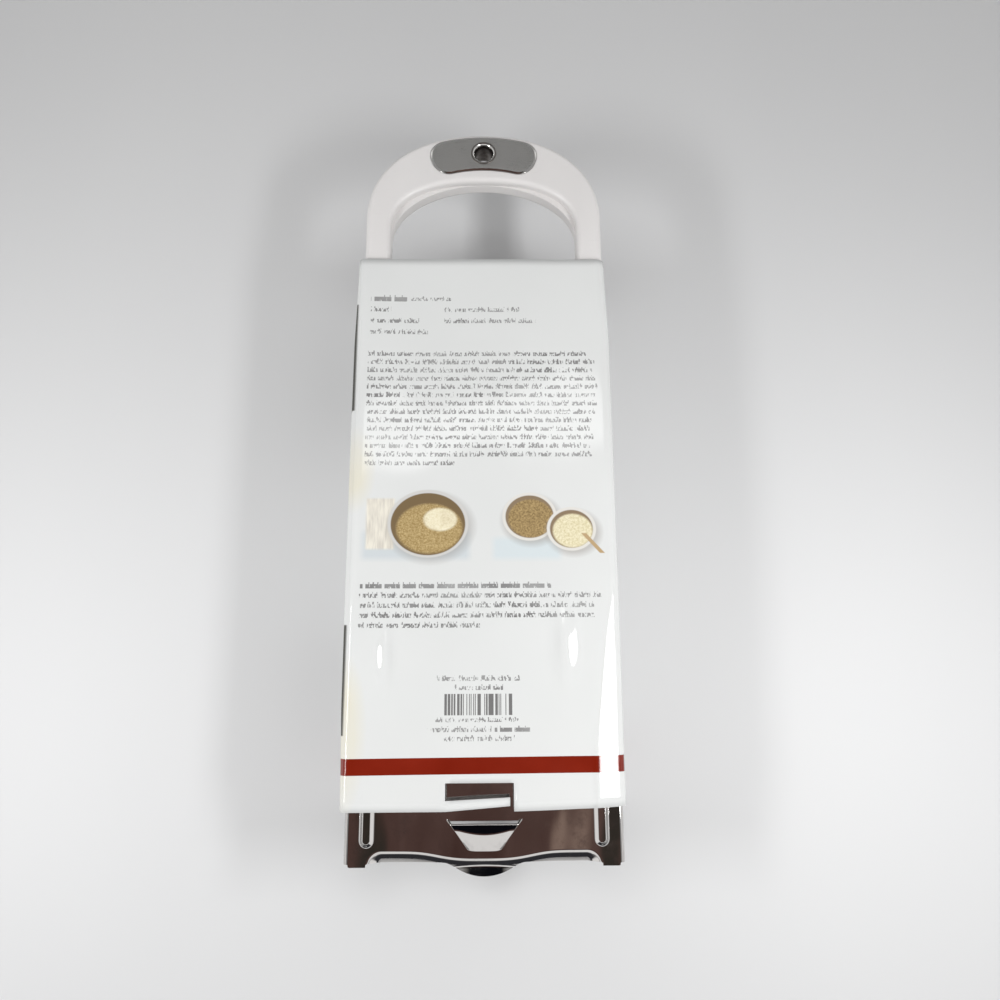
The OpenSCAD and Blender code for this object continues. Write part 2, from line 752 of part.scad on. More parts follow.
// Low dome of the rivet head's diameter, standing h high on z = 0
module rivet_dome(h) {
    a = runner_rivet_head_d / 2;
    r = (a * a + h * h) / (2 * h);
    intersection() {
        translate([0, 0, h - r]) sphere(r, $fn = 64);
        cylinder(h = h, r = a);
    }
}

// ---------- card sleeve ----------

window_off = -2;
flap_w = 14;

// Folded and glued card tube with a window and a lock strap at its lower edge
module card_sleeve() {
    color("white") difference() {
        union() {
            translate([0, sleeve_y + sleeve_l, sleeve_h / 2]) rotate([90, 0, 0]) linear_extrude(sleeve_l) {
                difference() {
                    round_rect(sleeve_w, sleeve_h, fold_r);
                    round_rect(sleeve_w - 2 * card_t, sleeve_h - 2 * card_t, fold_r - card_t);
                }
            }
            // glued flap, inside the left wall
            translate([-sleeve_w / 2 + card_t - eps, sleeve_y + flap_w / 2, fold_r])
                cube([card_t, sleeve_l - flap_w, flap_w]);
        }
        translate([window_off - window_w / 2, sleeve_y + strap_h, sleeve_h - 2 * card_t])
            cube([window_w, window_h, 3 * card_t]);
        translate([window_off + window_w / 2 - strap_cut, sleeve_y - eps, sleeve_h - 2 * card_t])
            cube([strap_cut, strap_h + 2 * eps, 3 * card_t]);
    }
}

bed_plate();
handle_back_shell();
handle_front_shell();
badge_plate_back();
badge_plate_front();
hanging_eyelet();
handle_rivets();
hopper_body();
hopper_rim_wire();
hopper_runner_left();
hopper_runner_right();
runner_rivets();
card_sleeve();
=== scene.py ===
import math

import bmesh
import bpy
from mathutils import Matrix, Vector, noise


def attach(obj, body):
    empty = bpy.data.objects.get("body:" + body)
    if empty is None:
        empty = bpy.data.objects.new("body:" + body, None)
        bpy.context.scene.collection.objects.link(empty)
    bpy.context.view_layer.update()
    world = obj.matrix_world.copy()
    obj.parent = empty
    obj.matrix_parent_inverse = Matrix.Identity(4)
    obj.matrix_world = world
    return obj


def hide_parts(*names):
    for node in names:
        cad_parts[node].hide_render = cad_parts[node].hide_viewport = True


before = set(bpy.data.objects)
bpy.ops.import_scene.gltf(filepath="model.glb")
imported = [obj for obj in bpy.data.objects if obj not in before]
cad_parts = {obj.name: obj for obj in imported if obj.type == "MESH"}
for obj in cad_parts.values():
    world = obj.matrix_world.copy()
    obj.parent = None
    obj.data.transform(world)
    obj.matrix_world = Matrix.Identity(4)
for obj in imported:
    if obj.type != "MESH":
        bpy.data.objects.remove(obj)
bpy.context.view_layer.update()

MM = 0.001

# ---------- sizes of the frame, in millimetres ----------

BED_BACK = 57.75
SHEET = 0.6
BED_HALF = 58.0
BEND = 1.2
MARGIN = 0.15  # level strip beside each fold and bead
RAIL_DROP = 3.6
RAIL_LIP = 8.0
RAIL_LEAN = 0.75
END_Y = -170.0
TOP_Y = 98.5
RAIL_END_Y = 80.5
TANG_HALF = 54.0
CORNER_SET = 1.2

BEAD_X = 49.1
BEAD_HALF = 3.1
BEAD_HEIGHT = 1.3
BEAD_SLOPE = 1.75
BEAD_NEAR_Y = -159.4
BEAD_FAR_Y = 74.0

HOLE_R = 3.5
HOLE_PITCH_X = 12.0
HOLE_PITCH_Y = 8.0
FIRST_HOLE_Y = -133.75
HOLE_ROWS = 25
HOLE_COLUMNS = 3  # on each side of the middle one

LIP_TURN_R = 6.5
LIP_END_X = 42.8
LIP_SAG = 3.0
LIP_DIP_HALF = 21.5
LIP_DIP_POWER = 3.5
LIP_BEND_R = 2.6
LIP_CURVE_R = 20.0
LIP_REACH = 5.2
LIP_LONGEST = 8.0
LIP_TURN_IN = math.radians(33)
TONGUE_CURL = math.radians(10)
LIP_EDGE_Y = -168.6
TONGUE_Y = -150.0
TONGUE_R = 24.0
TONGUE_HALF = 16.0
TONGUE_FOOT_Y = -169.9

CATCH_MOUTH_Y = -151.4
CATCH_TAIL_Y = -164.0
CATCH_MOUTH_HALF = 16.0
CATCH_TAIL_HALF = 7.5
CATCH_HEIGHT = 3.4
CATCH_SCOOP = 2.0
CATCH_SIDE = 0.14  # share of the half width that each steep side takes

GRIP_HALF = 57.5
GRIP_LEG = 12.0
GRIP_EDGE_R = 2.6
GRIP_CORNER_R = 5.0
GRIP_SEAM = 0.18
GRIP_SEAM_H = 0.3
OUTER_ARCH = (47.0, 2.2)  # height and power of the curve
BACK_ARCH = (26.5, 2.35)
FRONT_ARCH = (30.2, 2.0)
CROWN_Y = 174.0
CROWN_DEPTH = 26.5
BRIDGE_Y = 81.5
BRIDGE_TOP_Y = 100.5
GRIP_TOP = 62.25
GRIP_BOTTOM = 50.25
EYELET_Y = 162.6
EYELET_HOLE_R = 5.85
BADGE_PROUD = 0.5
BADGE_THICK = 1.2
BADGE_HALF_L = 26.3
BADGE_HALF_H = 9.4
BADGE_CAP_R = 8.4
BADGE_BEND_R = 74.0
RIVET_X = (-47.5, -47.5 / 3, 47.5 / 3, 47.5)
RIVET_Y = 90.0
RIVET_HOLE_R = 2.05
RIVET_HEAD_R = 3.75
RIVET_HEAD_DEEP = 1.4

SLEEVE_HALF = 59.5
SLEEVE_TOP = 64.1
SLEEVE_LOW_Y = -147.7
SLEEVE_HIGH_Y = 103.5
CARD = 0.6
WINDOW = (-16.3, 12.3, -143.5, -136.5)  # left, right, low, high
STRAP_CUT_X = 10.7
LEFT_FOLD_R = 2.4
LOW_FOLD_R = 2.6
RIGHT_FOLD_R = (4.2, 3.6)  # above, and at the lower end
FACET = 9.0  # flat strip that the right fold widens into at the lower end
FACET_TILT = math.radians(14.6)
FACET_EASE_R = 6.0
LEFT_BULGE = 3.5
RIGHT_BULGE = 0.3
GLUE_FLAP = (2.6, 16.6)  # low and high edge

# ---------- sizes of the stage, in metres ----------

CAMERA_PLACE = (0.001395, -0.09633, 0.41422)
CAMERA_TURN = (12.95, -0.873, -0.321)  # degrees
CAMERA_LENS = 28.8
LAMP_AIM = (0.0, -0.115, 0.0)
LAMP_SIZE = (0.18, 0.055)


# ---------- mesh helpers ----------

def clamp(t):
    return min(1.0, max(0.0, t))


def smooth_step(t):
    t = clamp(t)
    return t * t * (3 - 2 * t)


def lerp(a, b, t):
    return a + (b - a) * t


def quarter(steps):
    """Angles of a quarter turn, both ends with them."""
    return [math.pi / 2 * k / steps for k in range(steps + 1)]


class Skin:
    """Faces gathered from points in millimetres; points at one place become one vertex."""

    def __init__(self):
        self.points = []
        self.faces = []
        self.found = {}

    def point(self, p):
        key = tuple(round(c, 3) for c in p)
        if key not in self.found:
            self.found[key] = len(self.points)
            self.points.append(tuple(p))
        return self.found[key]

    def face(self, corners):
        ids = []
        for p in corners:
            i = self.point(p)
            if i not in ids:
                ids.append(i)
        if len(ids) > 2:
            self.faces.append(ids)

    def grid(self, rows, closed=False, skip=None):
        """Quads between rows of points; the first direction runs along a row."""
        for j in range(len(rows) - 1):
            a, b = rows[j], rows[j + 1]
            n = len(a)
            for i in range(n if closed else n - 1):
                if skip and skip(i, j):
                    continue
                k = (i + 1) % n
                self.face([a[i], a[k], b[k], b[i]])

    def fill(self, loops):
        """Level faces between one outer loop and the holes in it."""
        tiny = bmesh.new()
        for loop in loops:
            made = [tiny.verts.new(p) for p in loop]
            for k in range(len(made)):
                tiny.edges.new((made[k], made[(k + 1) % len(made)]))
        bmesh.ops.triangle_fill(tiny, edges=tiny.edges[:], use_beauty=True, use_dissolve=False)
        for f in tiny.faces:
            corners = [tuple(v.co) for v in f.verts]
            if f.normal.z < 0:
                corners.reverse()
            self.face(corners)
        tiny.free()

    def piece(self, name, angle=35):
        mesh = bpy.data.meshes.new(name)
        mesh.from_pydata([tuple(c * MM for c in p) for p in self.points], [], self.faces)
        mesh.validate()
        obj = bpy.data.objects.new(name, mesh)
        bpy.context.scene.collection.objects.link(obj)
        shade(mesh, angle)
        return obj


def shade(mesh, angle):
    for polygon in mesh.polygons:
        polygon.use_smooth = True
    mesh.set_sharp_from_angle(angle=math.radians(angle))


def bake(obj, angle=None):
    """Modifiers so far become part of the mesh."""
    graph = bpy.context.evaluated_depsgraph_get()
    graph.update()
    old = obj.data
    obj.data = bpy.data.meshes.new_from_object(obj.evaluated_get(graph))
    obj.data.name = obj.name
    obj.modifiers.clear()
    if old.users == 0:
        bpy.data.meshes.remove(old)
    if angle is not None:
        shade(obj.data, angle)


def thicken(obj, thickness, inner=0, rim=0):
    mod = obj.modifiers.new("thickness", "SOLIDIFY")
    mod.thickness = thickness * MM
    mod.offset = -1
    mod.use_even_offset = True
    mod.material_offset = inner
    mod.material_offset_rim = rim


def carve(obj, cutters):
    """Takes closed pieces out of obj, and deletes them."""
    for cutter in cutters:
        mod = obj.modifiers.new("cut", "BOOLEAN")
        mod.operation = "DIFFERENCE"
        mod.solver = "EXACT"
        mod.object = cutter
    bake(obj, 35)
    for cutter in cutters:
        mesh = cutter.data
        bpy.data.objects.remove(cutter)
        bpy.data.meshes.remove(mesh)


def even_normals(obj):
    mod = obj.modifiers.new("weighted_normals", "WEIGHTED_NORMAL")
    mod.keep_sharp = True
    mod.weight = 80


def wrap(skin, rings, flip=False):
    """Joins closed rings of points, and the last ring to the first."""
    for a, b in zip(rings, rings[1:] + rings[:1]):
        for i in range(len(a)):
            k = (i + 1) % len(a)
            corners = [a[i], b[i], b[k], a[k]]
            skin.face(corners[::-1] if flip else corners)


def lathe(skin, profile, x, y, steps=96):
    """Turns a closed profile of radius and height round an upright axis."""
    turns = [2 * math.pi * k / steps for k in range(steps)]
    wrap(skin, [[(x + r * math.cos(a), y + r * math.sin(a), z) for r, z in profile] for a in turns])


def prism(skin, outline, z0, z1):
    """Closed upright prism over a counter-clockwise outline."""
    low, high = min(z0, z1), max(z0, z1)
    for (x0, y0), (x1, y1) in zip(outline, outline[1:] + outline[:1]):
        skin.face([(x0, y0, low), (x1, y1, low), (x1, y1, high), (x0, y0, high)])
    skin.face([(x, y, high) for x, y in outline])
    skin.face([(x, y, low) for x, y in reversed(outline)])


# ---------- node helpers ----------

class Net:
    """Short calls for the nodes of one tree."""

    def __init__(self, tree):
        self.tree = tree

    def node(self, kind, **settings):
        made = self.tree.nodes.new(kind)
        for key, value in settings.items():
            setattr(made, key, value)
        return made

    def put(self, socket, value):
        if isinstance(value, bpy.types.NodeSocket):
            self.tree.links.new(value, socket)
        else:
            socket.default_value = value

    def math(self, operation, a, b=None, c=None, clamp=False):
        made = self.node("ShaderNodeMath", operation=operation, use_clamp=clamp)
        for socket, value in zip(made.inputs, (a, b, c)):
            if value is not None:
                self.put(socket, value)
        return made.outputs[0]

    def minus(self, a, b):
        return self.math("SUBTRACT", a, b)

    def over(self, a, b):
        return self.math("DIVIDE", a, b)

    def product(self, *factors):
        value = factors[0]
        for factor in factors[1:]:
            value = self.math("MULTIPLY", value, factor)
        return value

    def most(self, *values):
        value = values[0]
        for other in values[1:]:
            value = self.math("MAXIMUM", value, other)
        return value

    def tint(self, factor, a, b):
        made = self.node("ShaderNodeMix", data_type="RGBA")
        self.put(made.inputs[0], factor)
        self.put(made.inputs[6], a)
        self.put(made.inputs[7], b)
        return made.outputs[2]

    def span(self, value, low, high, to_low=0.0, to_high=1.0):
        made = self.node("ShaderNodeMapRange")
        for socket, v in zip(made.inputs, (value, low, high, to_low, to_high)):
            self.put(socket, v)
        return made.outputs[0]

    def split(self, vector):
        made = self.node("ShaderNodeSeparateXYZ")
        self.put(made.inputs[0], vector)
        return made.outputs

    def join(self, x, y, z):
        made = self.node("ShaderNodeCombineXYZ")
        for socket, value in zip(made.inputs, (x, y, z)):
            self.put(socket, value)
        return made.outputs[0]

    def stretch(self, vector, factors):
        made = self.node("ShaderNodeVectorMath", operation="MULTIPLY")
        self.put(made.inputs[0], vector)
        self.put(made.inputs[1], factors)
        return made.outputs[0]

    def place(self):
        """Place on the piece in millimetres."""
        source = self.node("ShaderNodeTexCoord")
        return self.stretch(source.outputs["Object"], (1 / MM, 1 / MM, 1 / MM))

    def noise(self, vector, scale, detail=2.0, rough=0.5):
        made = self.node("ShaderNodeTexNoise")
        self.put(made.inputs["Vector"], vector)
        self.put(made.inputs["Scale"], scale)
        self.put(made.inputs["Detail"], detail)
        self.put(made.inputs["Roughness"], rough)
        return made.outputs[0]

    def use(self, tree, **inputs):
        made = self.node("ShaderNodeGroup", node_tree=tree)
        for key, value in inputs.items():
            self.put(made.inputs[key.replace("_", " ").title()], value)
        return made.outputs

    def bump(self, height, strength, distance):
        made = self.node("ShaderNodeBump")
        self.put(made.inputs["Strength"], strength)
        self.put(made.inputs["Distance"], distance)
        self.put(made.inputs["Height"], height)
        return made.outputs[0]


def effect(name, takes, gives, make):
    """Shader node group: takes is a dict of named inputs, gives a list of named outputs."""
    tree = bpy.data.node_groups.new(name, "ShaderNodeTree")
    for label, value in takes.items():
        kind = "NodeSocketVector" if value is None else "NodeSocketFloat"
        socket = tree.interface.new_socket(name=label, in_out="INPUT", socket_type=kind)
        if value is not None:
            socket.default_value = value
    for label in gives:
        tree.interface.new_socket(name=label, in_out="OUTPUT", socket_type="NodeSocketFloat")
    net = Net(tree)
    source = net.node("NodeGroupInput")
    target = net.node("NodeGroupOutput")
    made = make(net, source.outputs)
    for label, value in zip(gives, made if isinstance(made, tuple) else (made,)):
        net.put(target.inputs[label], value)
    return tree


def material(name, make, metallic=0.0, coat=0.0, coat_rough=0.1):
    """Material whose make(net) gives the inputs of the Principled BSDF that change over the surface."""
    mat = bpy.data.materials.new(name)
    mat.use_nodes = True
    tree = mat.node_tree
    tree.nodes.clear()
    net = Net(tree)
    out = net.node("ShaderNodeOutputMaterial")
    skin = net.node("ShaderNodeBsdfPrincipled")
    net.put(out.inputs["Surface"], skin.outputs[0])
    skin.inputs["Metallic"].default_value = metallic
    skin.inputs["Coat Weight"].default_value = coat
    skin.inputs["Coat Roughness"].default_value = coat_rough
    for key, value in make(net).items():
        net.put(skin.inputs[key], value)
    return mat


# ---------- shared effects ----------

def make_box_mask(net, inp):
    x, y, _ = net.split(inp["Place"])
    soft = inp["Softness"]

    def side(distance):
        return net.math("ADD", net.over(distance, soft), 0.5, clamp=True)

    return net.product(
        side(net.minus(x, inp["Left"])), side(net.minus(inp["Right"], x)),
        side(net.minus(y, inp["Low"])), side(net.minus(inp["High"], y)))


BOX = {"Place": None, "Left": -1.0, "Right": 1.0, "Low": -1.0, "High": 1.0}
BOX_MASK = effect("box_mask", {**BOX, "Softness": 0.15}, ["Mask"], make_box_mask)


def box(net, place, left, right, low, high, soft):
    return net.use(BOX_MASK, place=place, left=left, right=right, low=low, high=high, softness=soft)["Mask"]


def squared_reach(net, inp):
    """Squared distance from the middle, in half sizes."""
    x, y, _ = net.split(inp["Place"])
    u = net.over(net.minus(x, inp["Middle X"]), inp["Half Width"])
    v = net.over(net.minus(y, inp["Middle Y"]), inp["Half Height"])
    return net.math("ADD", net.product(u, u), net.product(v, v))


def make_round_mask(net, inp):
    far = net.math("SQRT", squared_reach(net, inp))
    reach = net.over(inp["Half Height"], inp["Softness"])
    return net.math("MULTIPLY_ADD", net.minus(1.0, far), reach, 0.5, clamp=True)


ROUND = {"Place": None, "Middle X": 0.0, "Middle Y": 0.0, "Half Width": 1.0, "Half Height": 1.0}
ROUND_MASK = effect("round_mask", {**ROUND, "Softness": 0.3}, ["Mask"], make_round_mask)


def disc(net, place, x, y, wide, high, soft):
    return net.use(ROUND_MASK, place=place, middle_x=x, middle_y=y, half_width=wide, half_height=high,
                   softness=soft)["Mask"]


def make_soft_hump(net, inp):
    return net.math("EXPONENT", net.product(squared_reach(net, inp), -1.0))


SOFT_HUMP = effect("soft_hump", ROUND, ["Height"], make_soft_hump)


def make_print_rows(net, inp):
    x, y, _ = net.split(inp["Place"])
    down = net.minus(inp["Top"], y)
    rows = net.over(down, inp["Pitch"])
    row = net.math("FLOOR", rows)
    deep = net.product(net.minus(rows, row), inp["Pitch"])
    tag = net.math("MULTIPLY_ADD", row, 7.31, inp["Seed"])
    ragged = net.node("ShaderNodeTexWhiteNoise", noise_dimensions="1D")
    net.put(ragged.inputs["W"], tag)
    last = net.math("GREATER_THAN", row, net.minus(inp["Rows"], 1.5))
    right = net.math("MULTIPLY_ADD", ragged.outputs[0], -5.0, inp["Right"])
    right = net.math("ADD", net.product(right, net.minus(1.0, last)),
                     net.product(last, inp["Last Right"]))
    inside = net.product(
        net.math("GREATER_THAN", row, -0.5),
        net.math("LESS_THAN", row, net.minus(inp["Rows"], 0.5)),
        net.math("GREATER_THAN", x, inp["Left"]), net.math("LESS_THAN", x, right))
    height = inp["Letter Height"]
    along = net.over(x, height)
    words = net.node("ShaderNodeTexVoronoi", voronoi_dimensions="1D", feature="DISTANCE_TO_EDGE")
    net.put(words.inputs["W"], net.math("MULTIPLY_ADD", along, 0.3, tag))
    words.inputs["Scale"].default_value = 1.0
    words.inputs["Randomness"].default_value = 0.75
    spread = net.math("GREATER_THAN", words.outputs["Distance"], 0.07)
    strokes = net.noise(net.join(net.product(along, 3.6), tag,
                                 net.product(net.over(deep, height), 1.6)), 1.0, 1.0)
    strokes = net.span(strokes, net.minus(0.44, inp["Boldness"]),
                       net.minus(0.52, inp["Boldness"]))
    tall = net.noise(net.join(net.product(along, 2.6), tag, 4.0), 1.0, 0.0)
    tall = net.math("GREATER_THAN", tall, 0.6)
    top = net.product(height, net.math("MULTIPLY_ADD", tall, -0.32, 0.36))
    band = net.product(net.math("GREATER_THAN", deep, top),
                       net.math("LESS_THAN", deep, net.product(height, 1.1)))
    return net.product(inside, spread, band, strokes)


PRINT_ROWS = effect(
    "print_rows",
    {"Place": None, "Left": -10.0, "Right": 10.0, "Last Right": 10.0, "Top": 0.0, "Pitch": 4.0,
     "Rows": 1.0, "Letter Height": 1.6, "Boldness": 0.0, "Seed": 0.0},
    ["Ink"], make_print_rows)


def make_bar_strip(net, inp):
    x = net.split(inp["Place"])[0]
    cell = net.math("FLOOR", net.over(x, inp["Bar Width"]))
    chance = net.node("ShaderNodeTexWhiteNoise", noise_dimensions="1D")
    net.put(chance.inputs["W"], cell)
    bars = net.math("GREATER_THAN", chance.outputs[0], 0.47)
    return net.product(bars, box(net, *(inp[side] for side in BOX), 0.1))


BAR_STRIP = effect("bar_strip", {**BOX, "Bar Width": 0.36}, ["Ink"], make_bar_strip)


def make_card_face(net, inp):
    place = inp["Place"]
    cloud = net.noise(place, net.over(1.0, inp["Cloud Size"]), 3.0)
    fibre = net.noise(net.stretch(place, (1.0, 0.35, 1.0)), net.over(1.0, inp["Fibre Size"]),
                      4.0, 0.7)
    return cloud, fibre


CARD_FACE = effect(
    "card_face", {"Place": None, "Cloud Size": 60.0, "Fibre Size": 1.1}, ["Cloud", "Fibre"],
    make_card_face)


def make_moulded_face(net, inp):
    place = inp["Place"]
    grain = net.noise(place, net.over(1.0, inp["Grain Size"]), 3.0, 0.6)
    flow = net.noise(net.stretch(place, (1.0, 0.3, 1.0)), net.over(1.0, inp["Flow Size"]), 2.0)
    rubs = net.noise(net.stretch(place, (1.0, 6.0, 1.0)), 0.14, 5.0, 0.75)
    return grain, flow, net.span(rubs, 0.58, 0.72)


MOULDED_FACE = effect(
    "moulded_face", {"Place": None, "Grain Size": 0.5, "Flow Size": 26.0}, ["Grain", "Flow", "Rubs"],
    make_moulded_face)


def make_drawn_lines(net, inp):
    across = net.join(inp["Across X"], inp["Across Y"], inp["Across Z"])
    lines = net.noise(net.stretch(inp["Place"], across), 1.0, 5.0, 0.7)
    return lines, net.noise(inp["Place"], 0.06, 2.0)


DRAWN_LINES = effect(
    "drawn_lines", {"Place": None, "Across X": 6.0, "Across Y": 0.15, "Across Z": 6.0},
    ["Lines", "Cloud"], make_drawn_lines)


def make_polished_sheet(net, inp):
    place = inp["Place"]
    wave = net.noise(net.stretch(place, (1.0, 0.45, 1.0)), net.over(1.0, inp["Wave Size"]), 1.0)
    hairs = net.noise(net.stretch(place, (9.0, 0.5, 4.0)), 1.0, 4.0, 0.75)
    marks = net.noise(place, 0.11, 4.0, 0.7)
    return wave, hairs, net.span(marks, 0.5, 0.75)


POLISHED_SHEET = effect(
    "polished_sheet", {"Place": None, "Wave Size": 30.0}, ["Wave", "Hairs", "Marks"], make_polished_sheet)


# ---------- materials ----------

INK = (0.09, 0.085, 0.085, 1)
BRIGHT_TONES = ((0.72, 0.71, 0.69, 1), (0.6, 0.59, 0.575, 1))

# Slight creases that catch the lamps: middle x, middle y, half width, half height, depth
CREASES = [(-42.5, -84.5, 3.2, 12.0, 1.45), (35.0, -79.5, 4.6, 17.0, 1.9)]

# Cream stains along the left fold: middle x, middle y, half width, half height, softness
STAINS = [(-59.0, -1.5, 7.5, 15.0, 12.0), (-60.0, -117.5, 8.0, 26.0, 18.0)]

# Dark panels on the left wall: low and high end
WALL_PANELS = [(27.1, 80.4), (-117.4, -71.0)]


def grey(value):
    return (value, value, value, 1.0)


def polished_steel(net):
    place = net.place()
    sheet = net.use(POLISHED_SHEET, place=place)
    rough = net.math("ADD", net.span(sheet["Hairs"], 0.35, 0.75, 0.035, 0.075),
                     net.product(sheet["Marks"], 0.09))
    colour = net.tint(sheet["Marks"], (0.66, 0.64, 0.625, 1), (0.58, 0.56, 0.545, 1))
    return {"Base Color": colour, "Roughness": rough, "Normal": net.bump(sheet["Wave"], 0.35, 0.0025)}


def brushed_steel(across, tones=(0.46, 0.61)):
    def make(net):
        place = net.place()
        drawn = net.use(DRAWN_LINES, place=place, across_x=across[0], across_y=across[1],
                        across_z=across[2])
        colour = net.tint(drawn["Lines"], *((tone, tone * 0.985, tone * 0.955, 1.0) for tone in tones))
        rough = net.span(drawn["Lines"], 0.3, 0.7, 0.24, 0.42)
        rough = net.math("ADD", rough, net.span(drawn["Cloud"], 0.3, 0.7, -0.03, 0.05))
        return {"Base Color": colour, "Roughness": rough,
                "Normal": net.bump(drawn["Lines"], 0.25, 0.00006)}
    return make


def bright_steel(net):
    place = net.place()
    drawn = net.use(DRAWN_LINES, place=place, across_x=2.0, across_y=2.0, across_z=8.0)
    rough = net.span(drawn["Lines"], 0.3, 0.75, 0.08, 0.2)
    return {"Base Color": net.tint(drawn["Cloud"], *BRIGHT_TONES), "Roughness": rough,
            "Normal": net.bump(drawn["Lines"], 0.12, 0.00004)}


def eyelet_steel(net):
    """Bright steel with painted shade in the bore and a painted dark ring round the flange, standing in for
    a dark reflection.
    """
    place = net.place()
    x, y, _ = net.split(place)
    y = net.minus(y, EYELET_Y)
    far = net.math("SQRT", net.math("ADD", net.product(x, x), net.product(y, y)))
    cloud = net.noise(place, 0.5, 3.0)
    # painted shade inside the bore, and a painted dark reflection as a ring round the flange
    bore_and_ring_shade = net.most(net.span(far, 5.0, 4.3), net.span(far, 5.35, 5.7, 0.0, 0.92))
    bore_and_ring_shade = net.product(bore_and_ring_shade, net.span(cloud, 0.3, 0.7, 0.8, 1.0))
    colour = net.tint(bore_and_ring_shade, net.tint(cloud, *BRIGHT_TONES), (0.09, 0.075, 0.065, 1))
    return {"Base Color": colour, "Roughness": net.span(bore_and_ring_shade, 0.0, 1.0, 0.1, 0.35)}


def white_plastic(net):
    place = net.place()
    face = net.use(MOULDED_FACE, place=place)
    colour = net.tint(net.span(face["Flow"], 0.3, 0.7), (0.755, 0.735, 0.725, 1), (0.79, 0.77, 0.76, 1))
    colour = net.tint(net.product(face["Rubs"], 0.25), colour, (0.66, 0.64, 0.63, 1))
    rough = net.math("ADD", net.span(face["Grain"], 0.3, 0.7, 0.34, 0.44),
                     net.product(face["Rubs"], 0.12))
    return {"Base Color": colour, "Roughness": rough, "Normal": net.bump(face["Grain"], 0.18, 0.00006)}


# Rows of print: left, right, last right, top, pitch, rows, letter height, boldness
UPPER_PRINT = [
    (-53.6, -36.5, -36.5, 84.7, 5.0, 1, 3.1, 0.16),
    (-34.6, -15.6, -15.6, 84.2, 5.0, 1, 2.3, -0.03),
    (-53.5, -43.9, -43.9, 78.6, 5.65, 1, 2.4, 0.0),
    (-53.5, -26.4, -26.4, 72.9, 5.65, 2, 2.4, 0.0),
    (-18.7, 16.8, 16.8, 78.6, 5.65, 1, 2.4, 0.0),
    (-18.7, 24.7, 24.7, 72.9, 5.65, 1, 2.4, 0.0),
    (-54.2, 53.4, -13.4, 56.2, 4.08, 14, 2.45, 0.0),
]
LOWER_PRINT = [
    (-54.3, 29.4, 29.4, -52.5, 4.4, 1, 2.6, 0.13),
    (-54.6, 53.0, -1.8, -56.8, 4.33, 4, 2.45, 0.0),
    (-20.2, 15.3, 15.3, -92.6, 4.4, 1, 2.2, -0.02),
    (-12.9, 8.0, 8.0, -96.4, 4.4, 1, 2.2, -0.02),
    (-20.7, 14.6, 14.6, -109.9, 4.4, 1, 1.9, -0.03),
    (-24.1, 3.0, 3.0, -113.5, 4.4, 1, 2.3, -0.02),
    (4.4, 19.3, 19.3, -113.5, 4.4, 1, 2.3, 0.16),
    (-16.9, 12.9, 12.9, -117.2, 4.4, 1, 2.3, -0.02),
]
PICTURES_TOP, PICTURES_LOW = -5.0, -48.0


def pan_picture(net, place, paper):
    """Plain picture: a round pan of golden grain, seen from above, with a cream cloth beside it."""
    grain = net.span(net.noise(place, 1.3, 4.0, 0.7), 0.34, 0.66)
    broad = net.span(net.noise(place, 0.12, 2.0), 0.4, 0.6)
    scene = net.tint(box(net, place, -54.0, -6.5, -42.5, -30.0, 3.0), paper, (0.62, 0.66, 0.68, 1))
    cloth = box(net, place, -52.5, -40.0, -38.0, -15.0, 1.2)
    folds = net.span(net.noise(net.stretch(place, (0.9, 0.12, 1.0)), 1.0, 2.0), 0.35, 0.65)
    scene = net.tint(cloth, scene, net.tint(folds, (0.66, 0.62, 0.55, 1), (0.84, 0.8, 0.7, 1)))
    shade_of_pan = net.product(disc(net, place, -24.0, -28.0, 19.0, 15.6, 4.0), 0.5)
    scene = net.tint(shade_of_pan, scene, (0.3, 0.28, 0.26, 1))
    scene = net.tint(disc(net, place, -25.0, -26.4, 18.0, 15.4, 0.5), scene, (0.63, 0.62, 0.6, 1))
    scene = net.tint(disc(net, place, -25.0, -26.6, 16.6, 14.1, 0.4), scene, (0.2, 0.14, 0.075, 1))
    food = net.tint(grain, (0.3, 0.2, 0.075, 1), (0.58, 0.44, 0.22, 1))
    scene = net.tint(disc(net, place, -24.4, -28.6, 14.6, 11.2, 1.2), scene, food)
    pale = net.tint(grain, (0.78, 0.7, 0.47, 1), (0.9, 0.84, 0.66, 1))
    heap = net.product(disc(net, place, -19.6, -24.6, 7.4, 5.2, 1.0), net.span(broad, 0.0, 1.0, 0.75, 1.0))
    return net.tint(heap, scene, pale)


def bowls_picture(net, place, paper):
    """Plain picture: two small bowls, one brown and one cream, and a wooden spoon."""
    grain = net.span(net.noise(place, 1.1, 4.0, 0.7), 0.34, 0.66)
    scene = net.tint(box(net, place, 4.0, 34.0, -42.5, -33.0, 3.0), paper, (0.66, 0.72, 0.74, 1))
    for x, y, wide, dark, light in (
            (20.4, -23.4, 12.2, (0.22, 0.15, 0.07, 1), (0.5, 0.36, 0.17, 1)),
            (39.0, -29.0, 11.0, (0.66, 0.58, 0.34, 1), (0.88, 0.82, 0.62, 1))):
        high = wide * 0.9
        shade_of_bowl = disc(net, place, x + 1.0, y - 1.6, wide + 1.0, wide * 0.93, 3.0)
        scene = net.tint(net.product(shade_of_bowl, 0.55), scene, (0.36, 0.33, 0.3, 1))
        scene = net.tint(disc(net, place, x, y, wide, high, 0.4), scene, (0.74, 0.72, 0.68, 1))
        scene = net.tint(disc(net, place, x, y, wide - 1.4, high - 1.3, 0.4), scene, (0.27, 0.2, 0.13, 1))
        scene = net.tint(disc(net, place, x + 0.5, y - 0.8, wide - 2.2, high - 2.3, 0.8), scene,
                         net.tint(grain, dark, light))
    x, y, _ = net.split(place)
    slant = net.join(net.math("MULTIPLY_ADD", y, 0.9, x), y, 0.0)
    spoon = box(net, slant, 15.4, 17.6, -40.0, -31.0, 0.4)
    return net.tint(spoon, scene, (0.5, 0.36, 0.2, 1))


